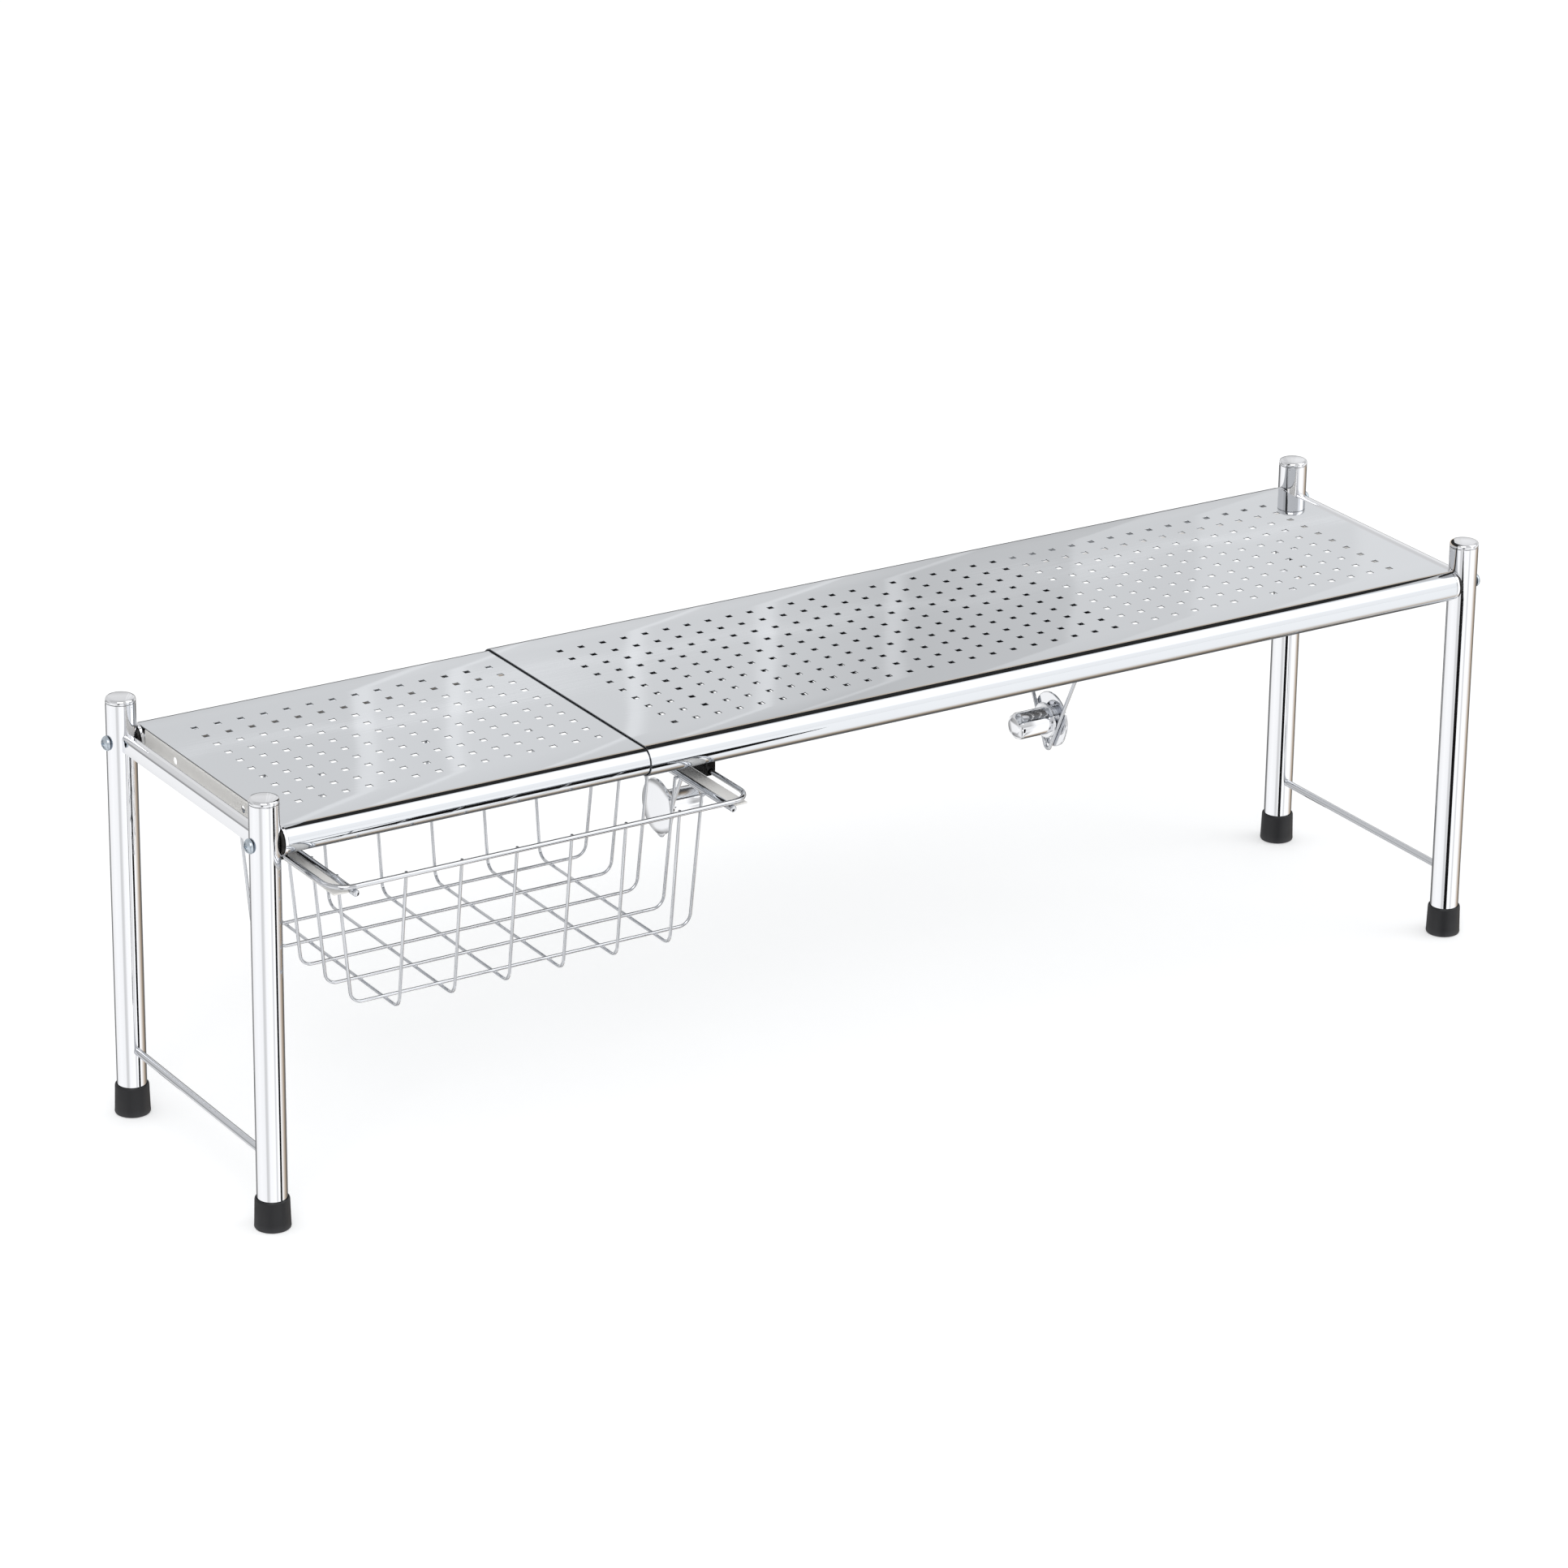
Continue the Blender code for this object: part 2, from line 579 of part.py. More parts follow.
def make_side_strip(side):
    """The flat strip between a side rod and the rim wire at the basket's front corner."""
    top = SIDE_ROD_HEIGHT + STRIP_THICKNESS / 2
    edges = [SIDE_ROD_SPAN / 2 + SIDE_ROD_RADIUS + CLEARANCE, RIM_WIDTH / 2 - RIM_RADIUS - CLEARANCE]
    xs = sorted(BASKET_X + side * edge for edge in edges)
    front = RIM_DIAMETER
    low = (xs[0], basket_y(front), top - STRIP_THICKNESS)
    high = (xs[1], basket_y(front + STRIP_LENGTH), top)
    return box(f"basket_{SIDE_NAMES[side]}_corner_strip", low, high, CHROME)


def make_basket():
    pieces = [make_rim()]
    pieces += [make_long_wire(index) for index in range(LONG_WIRES)]
    pieces += [make_cross_wire(index) for index in range(CROSS_WIRES)]
    pieces += [make_side_rod(side) for side in (LEFT, RIGHT)]
    return pieces + [make_side_strip(side) for side in (LEFT, RIGHT)]


def make_guide(side):
    """A plastic block under the front rolled edge, bored for the rim's side wire, with a stem up to the deck."""
    name = f"{SIDE_NAMES[side]}_basket_guide"
    ceiling = INNER_UNDERSIDE - CLEARANCE
    outline = [(GUIDE_FRONT, GUIDE_BOTTOM), (GUIDE_BACK, GUIDE_BOTTOM), (GUIDE_BACK, ceiling)]
    outline += [(GUIDE_STEM_FRONT, ceiling), (GUIDE_STEM_FRONT, GUIDE_TOP), (GUIDE_FRONT, GUIDE_TOP)]
    place = (BASKET_X + side * (GUIDE_INNER + GUIDE_OUTER) / 2, SHELF_Y, 0)
    guide = extruded(name, outline, GUIDE_OUTER - GUIDE_INNER, PLASTIC, YZ_PLANE, place)
    bore = GUIDE_BORE_DIAMETER / 2
    reach = GUIDE_LENGTH / 2 + OVERRUN
    profile = [(0, reach), (bore, reach), (bore, -reach), (0, -reach)]
    bore_place = (BASKET_X + side * RIM_WIDTH / 2, SHELF_Y + (GUIDE_FRONT + GUIDE_BACK) / 2, RIM_HEIGHT)
    cutter = turned(f"{name}_bore", profile, PLASTIC, ALONG_Y, bore_place, SMALL_SIDES)
    return combine(guide, as_cutter(cutter), "DIFFERENCE")


def make_holder_bracket(side, x):
    """A strip under the deck with two turned-down ears that the hanger wire swings in."""
    ear_inner = PIVOT_SPAN / 2 + EAR_GAP
    ear_outer = ear_inner + BRACKET_SHEET
    top = INNER_UNDERSIDE - CLEARANCE
    bottom = INNER_UNDERSIDE - EAR_DROP
    half = [(ear_outer, top), (ear_outer, bottom), (ear_inner, bottom), (ear_inner, top - BRACKET_SHEET)]
    outline = half + [(-y, z) for y, z in reversed(half)]
    name = f"{SIDE_NAMES[side]}_holder_bracket"
    bracket = extruded(name, outline, BRACKET_WIDTH, CHROME, YZ_PLANE, (x, SHELF_Y, 0))
    hole = HOLDER_WIRE_RADIUS + CLEARANCE
    reach = ear_outer + OVERRUN
    profile = [(0, reach), (hole, reach), (hole, -reach), (0, -reach)]
    cutter = turned(f"{name}_bore", profile, CHROME, ALONG_Y, (x, SHELF_Y, PIVOT_HEIGHT), SMALL_SIDES)
    return combine(bracket, as_cutter(cutter), "DIFFERENCE")


def make_hanger_wire(side, x):
    """The V of wire that hangs from the bracket's ears and carries the roll end in its crook."""
    half = PIVOT_SPAN / 2
    path = [(-half - HOLDER_WIRE_TAIL, PIVOT_HEIGHT), (-half, PIVOT_HEIGHT), (0, PIVOT_HEIGHT - HANGER_DROP)]
    path += [(half, PIVOT_HEIGHT), (half + HOLDER_WIRE_TAIL, PIVOT_HEIGHT)]
    path = rounded([(x, SHELF_Y + y, z) for y, z in path], CROOK_BEND)
    return wire(f"{SIDE_NAMES[side]}_hanger_wire", path, HOLDER_WIRE_DIAMETER, CHROME, sides=8)


def make_roll_end(side, x):
    """A turned bobbin: an outer disc, a neck that runs in the V, a keeper and the hub for the roll's core."""
    slope = math.atan2(PIVOT_SPAN / 2, HANGER_DROP)
    neck = (HANGER_DROP - ROLL_AXIS_DROP) * math.sin(slope) - HOLDER_WIRE_RADIUS - CLEARANCE
    half_neck = HOLDER_WIRE_RADIUS + CLEARANCE
    disc, keeper, hub = DISC_DIAMETER / 2, KEEPER_DIAMETER / 2, HUB_DIAMETER / 2
    face = half_neck + DISC_THICKNESS
    keeper_end = half_neck + KEEPER_THICKNESS
    nose = keeper_end + HUB_LENGTH
    profile = [(0, face), (disc - DISC_ROUNDING, face), (disc, face - DISC_ROUNDING), (disc, half_neck)]
    profile += [(neck, half_neck), (neck, -half_neck), (keeper, -half_neck), (keeper, -keeper_end)]
    profile += [(hub, -keeper_end), (hub, HUB_NOSE - nose), (hub - HUB_NOSE, -nose), (0, -nose)]
    place = (x, SHELF_Y, PIVOT_HEIGHT - ROLL_AXIS_DROP)
    turn = ALONG_X if side == RIGHT else AGAINST_X
    return turned(f"{SIDE_NAMES[side]}_roll_end", profile, CHROME, turn, place)


def make_group(name, pieces, place, parent=None):
    """An empty on the joint's axis that its moving pieces are parented to."""
    empty = bpy.data.objects.new(name, None)
    empty.matrix_world = Matrix.Translation(place)
    PARTS.objects.link(empty)
    for piece in pieces:
        piece.parent = empty
        piece.matrix_parent_inverse = Matrix.Translation(-Vector(place))
    if parent:
        empty.parent = parent
        empty.matrix_parent_inverse = parent.matrix_world.inverted()
    return empty


def make_holder(side, x):
    """One end of the roll holder: its wire swings on the bracket and its bobbin turns in the wire."""
    make_holder_bracket(side, x)
    swing = make_group(f"{SIDE_NAMES[side]}_swing_axis", [make_hanger_wire(side, x)], (x, SHELF_Y, PIVOT_HEIGHT))
    bpy.context.view_layer.update()
    spin_place = (x, SHELF_Y, PIVOT_HEIGHT - ROLL_AXIS_DROP)
    make_group(f"{SIDE_NAMES[side]}_spin_axis", [make_roll_end(side, x)], spin_place, swing)


def main():
    seam_x = DECK_END - OUTER_DECK_LENGTH
    outer_columns = int((OUTER_DECK_LENGTH - 2 * OUTER_HOLE_MARGIN) / OUTER_PITCH[0]) + 1
    uncovered = 2 * DECK_END - OUTER_DECK_LENGTH - INNER_HOLE_MARGIN
    inner_columns = int((uncovered + HOLE_SIZE / 2) / INNER_PITCH[0]) + 1
    inner_holes = (INNER_HOLE_MARGIN, INNER_PITCH, inner_columns)
    outer_holes = (OUTER_HOLE_MARGIN, OUTER_PITCH, outer_columns)
    make_leg_frame(LEFT, INNER_RADIUS)
    make_shelf_half(LEFT, "inner", INNER_DECK_LENGTH, INNER_RADIUS, *inner_holes)
    extension = make_leg_frame(RIGHT, OUTER_RADIUS)
    extension += make_shelf_half(RIGHT, "outer", OUTER_DECK_LENGTH, OUTER_RADIUS, *outer_holes)
    make_group("extension_axis", extension, (seam_x, SHELF_Y, RAIL_HEIGHT))
    make_group("basket_axis", make_basket(), (BASKET_X, SHELF_Y, RIM_HEIGHT))
    for side, x in zip((LEFT, RIGHT), HOLDER_X):
        make_guide(side)
        make_holder(side, x)


main()
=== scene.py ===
"""Looks of the over sink shelf, laid out as a Blender add-on and run as a script."""

import math

import bmesh
import bpy
from bpy.props import FloatProperty, FloatVectorProperty, PointerProperty
from mathutils import Matrix, Vector


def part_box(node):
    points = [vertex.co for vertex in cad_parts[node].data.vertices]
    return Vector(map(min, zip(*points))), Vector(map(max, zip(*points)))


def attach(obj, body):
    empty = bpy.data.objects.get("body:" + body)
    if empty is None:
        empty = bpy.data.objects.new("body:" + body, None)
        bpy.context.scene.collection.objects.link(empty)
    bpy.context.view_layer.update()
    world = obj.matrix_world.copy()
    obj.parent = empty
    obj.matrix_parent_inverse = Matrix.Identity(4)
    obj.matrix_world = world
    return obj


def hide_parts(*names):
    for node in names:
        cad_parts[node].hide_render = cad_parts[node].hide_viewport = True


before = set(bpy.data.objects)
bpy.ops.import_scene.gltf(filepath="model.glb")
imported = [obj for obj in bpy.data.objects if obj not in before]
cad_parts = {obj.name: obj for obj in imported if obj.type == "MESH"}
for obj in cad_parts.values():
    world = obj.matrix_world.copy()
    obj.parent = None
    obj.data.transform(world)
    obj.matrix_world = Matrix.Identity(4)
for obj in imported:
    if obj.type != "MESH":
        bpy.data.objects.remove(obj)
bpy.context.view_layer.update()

bl_info = {
    "name": "Over Sink Shelf",
    "version": (1, 0, 0),
    "blender": (4, 5, 0),
    "location": "View3D > Sidebar > Shelf",
    "description": "Builds the visible pieces of an extending over sink shelf with a wire basket and a roll holder",
    "category": "Object",
}

# Camera, worked out from the legs in the photograph
CAMERA_AZIMUTH = math.radians(-32.163)
CAMERA_ELEVATION = math.radians(22.049)
CAMERA_ROLL = math.radians(0.724)
CAMERA_DISTANCE = 4.0306
CAMERA_AIM = Vector((0.0154, 0.0791, 0.140))
CAMERA_LENS_MM = 141.76

# Turns that lay a turned piece's own Z along X or Y
ALONG_X = Matrix.Rotation(math.pi / 2, 4, "Y")
AGAINST_X = Matrix.Rotation(-math.pi / 2, 4, "Y")
ALONG_Y = Matrix.Rotation(-math.pi / 2, 4, "X")

SIDES = {"left": -1, "right": 1}
DEPTHS = {"front": -1, "back": 1}
SIDE_BODY = {"left": "shelf", "right": "extension"}
OUTWARD = {-1: AGAINST_X, 1: ALONG_X}

# Fineness of the meshes
ROUND_STEPS = 64
BORE_STEPS = 32
WIRE_SIDES = 16
STOUT_WIRE_SIDES = 24
BEND_STEP = math.radians(12)
SHARP_ANGLE = math.radians(35)
BEVEL_ANGLE = math.radians(38)
MERGE_DISTANCE = 0.000002
SAME_PLACE = 0.000001
SAME_LINE = 0.00001

# Measures of the pieces that neither a setting nor a CAD node gives, the lengths in metres
TUBE_WALL = 0.001
CAP_HEIGHT = 0.003
CAP_PLUG_HEIGHT = 0.009
CAP_PLUG_STEP = 0.0013
FOOT_RECESS = 0.0012
FOOT_FLOOR = 0.003
SCREW_HEAD = 0.0032
SCREW_SHANK_RADIUS = 0.0019
SCREW_RECESS_HALF_WIDTH = 0.00055
SCREW_RECESS_REACH = 0.0024
SCREW_RECESS_DEPTH = 0.0014
SCREW_TURN = math.radians(25)
LEG_CLEARANCE = 0.0002
BAR_ROUNDING = 0.003
PLUG_BORE_RADIUS = 0.0024
PLUG_NECK_RADIUS = {"left": 0.0075, "right": 0.0085}
DECK_ROWS = 10
DECK_BACK_ROW = 0.07065
DECK_COLUMNS = {"inner": 37, "outer": 36}
DECK_MARGIN = {"inner": 0.0265, "outer": 0.031}
# The holes past an X value move along and across; on the inner deck these are the ones under the outer deck
DECK_SHIFT = {"inner": (-0.176, 0.00645, -0.002), "outer": (10.0, 0.0, 0.0)}
ROLL_ANGLE = math.radians(300)
ROLL_STEPS = 40
END_BEND = 0.0012
END_LIP = 0.0014
END_HOLE_RADIUS = 0.0025
END_HOLE_OFFSET = 0.045
END_HOLE_DROP = 0.0065
RIM_BEND = 0.015
BASKET_BEND = 0.008
LONG_WIRE_LEAN = 0.0111
CROSS_WIRE_LEAN = 0.0084
WIRE_TOP_GAP = 0.0002
WELD_RADIUS = 0.00115
LEFT_GUIDE_SETBACK = 0.014
GUIDE_STEM_BEHIND_RAIL = 0.021
GUIDE_FOOT_GAP = 0.0005
GUIDE_BORE_RADIUS = 0.002
BRACKET_SHEET = 0.0012
BRACKET_CLEARANCE = 0.0003
HANGER_HALF_WIDTH = 0.05075
HANGER_DROP = 0.105
HANGER_TAIL = 0.010
HANGER_BEND = 0.003
SPOOL_GROOVE = 0.00155

MATERIALS = {}


def linear(code):
    """An sRGB hex value as a linear colour."""
    channels = [int(code[i:i + 2], 16) / 255 for i in (0, 2, 4)]
    return [c / 12.92 if c <= 0.04045 else ((c + 0.055) / 1.055) ** 2.4 for c in channels]


# Small helpers


def centre(node):
    low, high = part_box(node)
    return (low + high) / 2


def size(node):
    low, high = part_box(node)
    return high - low


def vertices(geometry):
    return [part for part in geometry if isinstance(part, bmesh.types.BMVert)]


def edges_of(geometry):
    return [part for part in geometry if isinstance(part, bmesh.types.BMEdge)]


def with_vertices(edges):
    return edges + list({vert for edge in edges for vert in edge.verts})


def to_object(name, shape):
    mesh = bpy.data.meshes.new(name)
    shape.to_mesh(mesh)
    shape.free()
    item = bpy.data.objects.new(name, mesh)
    bpy.context.scene.collection.objects.link(item)
    return item


def edge_bevel(item, width, segments=2):
    """Rounds the sharp edges of a finished piece."""
    bevel = item.modifiers.new("edge_rounding", "BEVEL")
    bevel.width = width
    bevel.segments = segments
    bevel.limit_method = "ANGLE"
    bevel.angle_limit = BEVEL_ANGLE
    bevel.harden_normals = True


def add_piece(name, shape, body, material, nodes=(), bevel=0, closed=True):
    """Makes a finished piece of a mesh, on its body, under its material, in place of its CAD nodes."""
    bmesh.ops.remove_doubles(shape, verts=shape.verts, dist=MERGE_DISTANCE)
    if closed:
        bmesh.ops.recalc_face_normals(shape, faces=shape.faces)
    item = to_object(name, shape)
    item.data.materials.append(MATERIALS[material])
    item.data.shade_smooth()
    item.data.set_sharp_from_angle(angle=SHARP_ANGLE)
    if bevel:
        edge_bevel(item, bevel)
    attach(item, body)
    if nodes:
        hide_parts(*nodes)
    return item


def placed(shape, place, turn=None):
    bmesh.ops.transform(shape, matrix=Matrix.Translation(place) @ (turn or Matrix.Identity(4)), verts=shape.verts)
    return shape


def lathe(profile, steps=ROUND_STEPS, ring=False):
    """Turns a profile of (radius, height) about Z."""
    shape = bmesh.new()
    verts = [shape.verts.new((radius, 0, height)) for radius, height in profile]
    pairs = list(zip(verts, verts[1:]))
    if ring:
        pairs.append((verts[-1], verts[0]))
    edges = [shape.edges.new(pair) for pair in pairs]
    bmesh.ops.spin(shape, geom=verts + edges, cent=(0, 0, 0), axis=(0, 0, 1), angle=math.tau,
                   steps=steps, use_merge=True, use_duplicate=False)
    bmesh.ops.remove_doubles(shape, verts=shape.verts, dist=MERGE_DISTANCE)
    return shape


def grown(shape, ring, move=(0, 0, 0), cent=(0, 0, 0), axis=(0, 0, 1), angle=0, steps=1):
    """Draws a ring of edges on, straight or round an axis, and returns the last ring."""
    made = bmesh.ops.spin(shape, geom=ring, cent=cent, dvec=move, axis=axis, angle=angle, steps=steps)
    return made["geom_last"]


def wire(path, radius, bend, sides=WIRE_SIDES, closed=False):
    """A round wire drawn along a path and bent at each corner, with softly rounded ends."""
    points = [Vector(point) for point in path]
    if closed:
        start = (points[0] + points[1]) / 2
        points = [start] + points[1:] + [points[0], start]
    shape = bmesh.new()
    heading = (points[1] - points[0]).normalized()
    bmesh.ops.create_circle(shape, cap_ends=False, radius=radius, segments=sides)
    placed(shape, points[0], heading.to_track_quat("Z", "Y").to_matrix().to_4x4())
    first = list(shape.edges)
    ring = first
    here = points[0]
    for corner, ahead in zip(points[1:-1], points[2:]):
        next_heading = (ahead - corner).normalized()
        turn = heading.angle(next_heading)
        tangent = bend * math.tan(turn / 2)
        target = corner - heading * tangent
        ring = grown(shape, ring, move=target - here)
        middle = corner + (next_heading - heading).normalized() * (bend / math.cos(turn / 2))
        steps = max(2, math.ceil(turn / BEND_STEP))
        ring = grown(shape, ring, cent=middle, axis=heading.cross(next_heading), angle=turn, steps=steps)
        here = corner + next_heading * tangent
        heading = next_heading
    ring = grown(shape, ring, move=points[-1] - here)
    if not closed:
        for end in (first, edges_of(ring)):
            bmesh.ops.contextual_create(shape, geom=end)
        bevelled(shape, first + edges_of(ring), radius * 0.35, 2)
    return shape


def bevelled(shape, geometry, offset, segments, affect="EDGES"):
    bmesh.ops.bevel(shape, geom=geometry, offset=offset, segments=segments, profile=0.5, affect=affect, material=-1)


def bar(low, high):
    """A block between two corners."""
    low, high = Vector(low), Vector(high)
    shape = bmesh.new()
    bmesh.ops.create_cube(shape, size=1.0)
    bmesh.ops.scale(shape, vec=high - low, verts=shape.verts)
    return placed(shape, (low + high) / 2)


def cylinder(radius, depth, place, turn=None, steps=BORE_STEPS):
    """A round rod with its middle at a place, to cut with."""
    shape = bmesh.new()
    bmesh.ops.create_cone(shape, cap_ends=True, segments=steps, radius1=radius, radius2=radius, depth=depth)
    return placed(shape, place, turn)


def plate(outline, x, thickness):
    """An outline of (y, z) points pushed through along X by its thickness, half to each side."""
    shape = bmesh.new()
    face = shape.faces.new([shape.verts.new((x, *point)) for point in outline])
    made = bmesh.ops.extrude_face_region(shape, geom=[face])
    bmesh.ops.translate(shape, vec=(thickness, 0, 0), verts=vertices(made["geom"]))
    return placed(shape, (-thickness / 2, 0, 0))


def carved(shape, *cutters):
    """Cuts other shapes out of a shape."""
    item = to_object("carving", shape)
    tools = [to_object("carver", cutter) for cutter in cutters]
    for tool in tools:
        boolean = item.modifiers.new("carve", "BOOLEAN")
        boolean.operation = "DIFFERENCE"
        boolean.solver = "EXACT"
        boolean.object = tool
    bpy.context.view_layer.update()
    mesh = bpy.data.meshes.new_from_object(item.evaluated_get(bpy.context.evaluated_depsgraph_get()))
    result = bmesh.new()
    result.from_mesh(mesh)
    if not result.faces:
        raise RuntimeError("nothing is left of a carved shape")
    for tool in [item, *tools]:
        bpy.data.objects.remove(tool, do_unlink=True)
    return result


def extruded_edges(shape, picked, to, coordinate=0):
    """Draws edges on to one value of a coordinate, and returns the new edges."""
    made = bmesh.ops.extrude_edge_only(shape, edges=picked)
    chosen = set(vertices(made["geom"]))
    for vert in chosen:
        vert.co[coordinate] = to
    return [edge for edge in edges_of(made["geom"]) if set(edge.verts) <= chosen]


def border(shape, coordinate, value):
    """The open edges that lie at one value of a coordinate."""
    return [edge for edge in shape.edges
            if edge.is_boundary and all(abs(vert.co[coordinate] - value) <= SAME_LINE for vert in edge.verts)]


# Settings


def length(name, description, default):
    return FloatProperty(name=name, description=description, default=default, unit="LENGTH", precision=4)


class SHELF_PG_sizes(bpy.types.PropertyGroup):
    """Sizes of the visible pieces"""

    sheet: length("Sheet", "Thickness of the deck sheet to the eye", 0.0007)
    hole: length("Hole", "Side of each square perforation", 0.0041)
    hole_corner: length("Hole corner", "Rounding of each perforation's corners", 0.0005)
    outer_pitch: length("Outer pitch", "Spacing of the outer deck's holes", 0.0157)
    inner_pitch_x: length("Inner pitch along", "Spacing of the inner deck's holes along it", 0.0159)
    inner_pitch_y: length("Inner pitch across", "Spacing of the inner deck's holes across it", 0.0152)
    leg: length("Leg", "Diameter of the leg tubes", size("left_front_leg").x)
    rim: length("Rim wire", "Diameter of the basket's rim wire", size("basket_rim").z)
    basket_wire: length("Basket wire", "Diameter of the basket's other wires", 0.002)
    side_rod: length("Side rod", "Diameter of the rods under the rim", size("basket_left_side_rod").x)
    hanger: length("Hanger wire", "Diameter of the roll holder's wires", size("left_hanger_wire").x)
    disc: length("Disc", "Diameter of the roll holder's outer discs", size("left_roll_end").z)


def tint(name, description, code):
    return FloatVectorProperty(name=name, description=description, default=linear(code), size=3,
                               min=0.0, max=1.0, subtype="COLOR")


class SHELF_PG_colours(bpy.types.PropertyGroup):
    """Colours of the finishes"""

    chrome: tint("Chrome", "Chrome plate on tubes and turned pieces", "E6E7EA")
    wire: tint("Wire", "Chrome plate on wires and rods", "D0D2D6")
    stainless: tint("Stainless", "Polished stainless sheet", "D3D6DA")
    # The inner side's grey is darker than the sheet's own: painted shade on the outer deck's underside and on every
    # hole's walls and the sheet's edges
    inside: tint("Inner side", "Unpolished inner side of the stainless sheet", "7E8083")
    # The strip colour is pale and mostly not metallic: painted light that shows the chrome strips and the stainless
    # turned ends bright in the deck's shade
    strip: tint("Strip", "Satin on the basket's strips and the decks' turned ends", "F2F0EC")
    zinc: tint("Zinc", "Bright zinc plate on the screws", "C3CDD6")
    rubber: tint("Rubber", "Moulded rubber of the feet", "0C0D12")
    scuff: tint("Scuff", "Scuffed rubber where the feet meet the worktop", "3A3A3E")
    plastic: tint("Plastic", "Moulded plastic of plugs and guides", "141211")


# Shader nodes


def fill_inputs(tree, node, inputs):
    """Fills a node's inputs, in their own order or by name or number, with values, sockets or other nodes, of
    which the first live output is taken."""
    for key, value in (inputs if isinstance(inputs, dict) else dict(enumerate(inputs))).items():
        if isinstance(value, bpy.types.Node):
            value = next(socket for socket in value.outputs if socket.enabled)
        if isinstance(value, bpy.types.NodeSocket):
            tree.links.new(value, node.inputs[key])
        else:
            node.inputs[key].default_value = value


def add_node(tree, kind, inputs=(), **settings):
    """Adds one shader node with its settings and the values and links of its inputs."""
    node = tree.nodes.new("ShaderNode" + kind)
    for key, value in settings.items():
        setattr(node, key, value)
    fill_inputs(tree, node, inputs)
    return node


# Materials


def new_material(name, slot, colour, metallic=1.0):
    """A material of one colour, entered under its slot or, where that is taken, under its own name."""
    material = bpy.data.materials.new(name)
    material.use_nodes = True
    material["slot"] = slot
    tree = material.node_tree
    shader = tree.nodes["Principled BSDF"]
    fill_inputs(tree, shader, {"Base Color": (*colour, 1), "Metallic": metallic})
    MATERIALS[slot if slot not in MATERIALS else name] = material
    return tree, shader, add_node(tree, "TexCoord").outputs["Object"]


def set_surface(tree, shader, cloud, levels, grain, strength, distance=0.0001, **under):
    """Roughness that follows a cloud, spread from its own low and high to two levels, and relief from a grain."""
    rough = add_node(tree, "MapRange", (cloud, *levels))
    bump = add_node(tree, "Bump", {"Height": grain, "Strength": strength, "Distance": distance, **under})
    fill_inputs(tree, shader, {"Roughness": rough, "Normal": bump})


def chrome_plate(colours):
    """Bright chrome plate on steel tube: a clear mirror with a faint haze of fine polishing."""
    tree, shader, place = new_material("chrome_plate", "chrome", colours.chrome)
    # Cloudy handling haze, some 25 mm across
    haze = add_node(tree, "TexNoise", {"Vector": place, "Scale": 40.0, "Detail": 4.0})
    # The drawn tube's slight waviness, some 12 mm long, drawn shallow
    wave = add_node(tree, "TexNoise", {"Vector": place, "Scale": 80.0, "Detail": 1.0})
    set_surface(tree, shader, haze, (0.3, 0.75, 0.025, 0.075), wave, 0.02, 0.0004)


def plated_wire(colours):
    """Chrome plate on drawn wire: duller and greyer than on polished tube, with faint draw marks."""
    tree, shader, place = new_material("chrome_wire", "chrome", colours.wire)
    # Draw marks and plating cloud: 0.3 mm, drawn 1.5 mm so that they show
    cloud = add_node(tree, "TexNoise", {"Vector": place, "Scale": 650.0, "Detail": 3.0})
    set_surface(tree, shader, cloud, (0.3, 0.7, 0.07, 0.15), cloud, 0.06)


def rolled_stainless(colours):
    """Bright rolled stainless sheet: a soft mirror with faint rolling streaks along its length."""
    tree, shader, place = new_material("rolled_stainless", "stainless", colours.stainless)
    # Rolling streaks: 0.5 mm wide in the mill, drawn 2 mm wide and 120 mm long so that they show
    drawn = add_node(tree, "Mapping", {"Vector": place, "Scale": (8.0, 500.0, 500.0)})
    streak = add_node(tree, "TexNoise", {"Vector": drawn, "Scale": 1.0, "Detail": 3.0})
    # Soft wipe marks some 50 mm across
    wipe = add_node(tree, "TexNoise", {"Vector": place, "Scale": 20.0, "Detail": 3.0})
    both = add_node(tree, "Mix", {"Factor": 0.45, "A": streak, "B": wipe}, data_type="FLOAT")
    # The sheet's slight flatness error between its bends, some 90 mm across
    wave = add_node(tree, "TexNoise", {"Vector": place, "Scale": 11.0, "Detail": 0.0})
    sag = add_node(tree, "Bump", {"Height": wave, "Strength": 0.2, "Distance": 0.0006})
    set_surface(tree, shader, both, (0.3, 0.7, 0.012, 0.035), streak, 0.01, 0.0002, Normal=sag)


def shaded_mill_stainless(colours):
    """The sheet's unpolished inner side: a dull mill finish with a grey darker than the polished side, which is
    painted shade for the gap between the decks and inside the holes.
    """
    tree, shader, place = new_material("shaded_stainless_inside", "stainless", colours.inside)
    # Mill grain: 0.2 mm, drawn 1 mm so that it shows
    grain = add_node(tree, "TexNoise", {"Vector": place, "Scale": 1000.0, "Detail": 3.0})
    set_surface(tree, shader, grain, (0.0, 1.0, 0.32, 0.48), grain, 0.1)


def lit_satin_plate(colours, name, slot):
    """Satin on the basket's flat strips and the decks' turned ends: a pale, mostly non-metallic copy of their
    plate, painted light that shows them bright under the deck, with a broad soft sheen and fine marks along Y.
    """
    tree, shader, place = new_material(name, slot, colours.strip, metallic=0.2)
    # Brush marks: 0.1 mm wide, drawn 0.6 mm wide and 30 mm long so that they show
    drawn = add_node(tree, "Mapping", {"Vector": place, "Scale": (1600.0, 33.0, 1600.0)})
    brush = add_node(tree, "TexNoise", {"Vector": drawn, "Scale": 1.0, "Detail": 3.0})
    set_surface(tree, shader, brush, (0.0, 1.0, 0.42, 0.60), brush, 0.1)


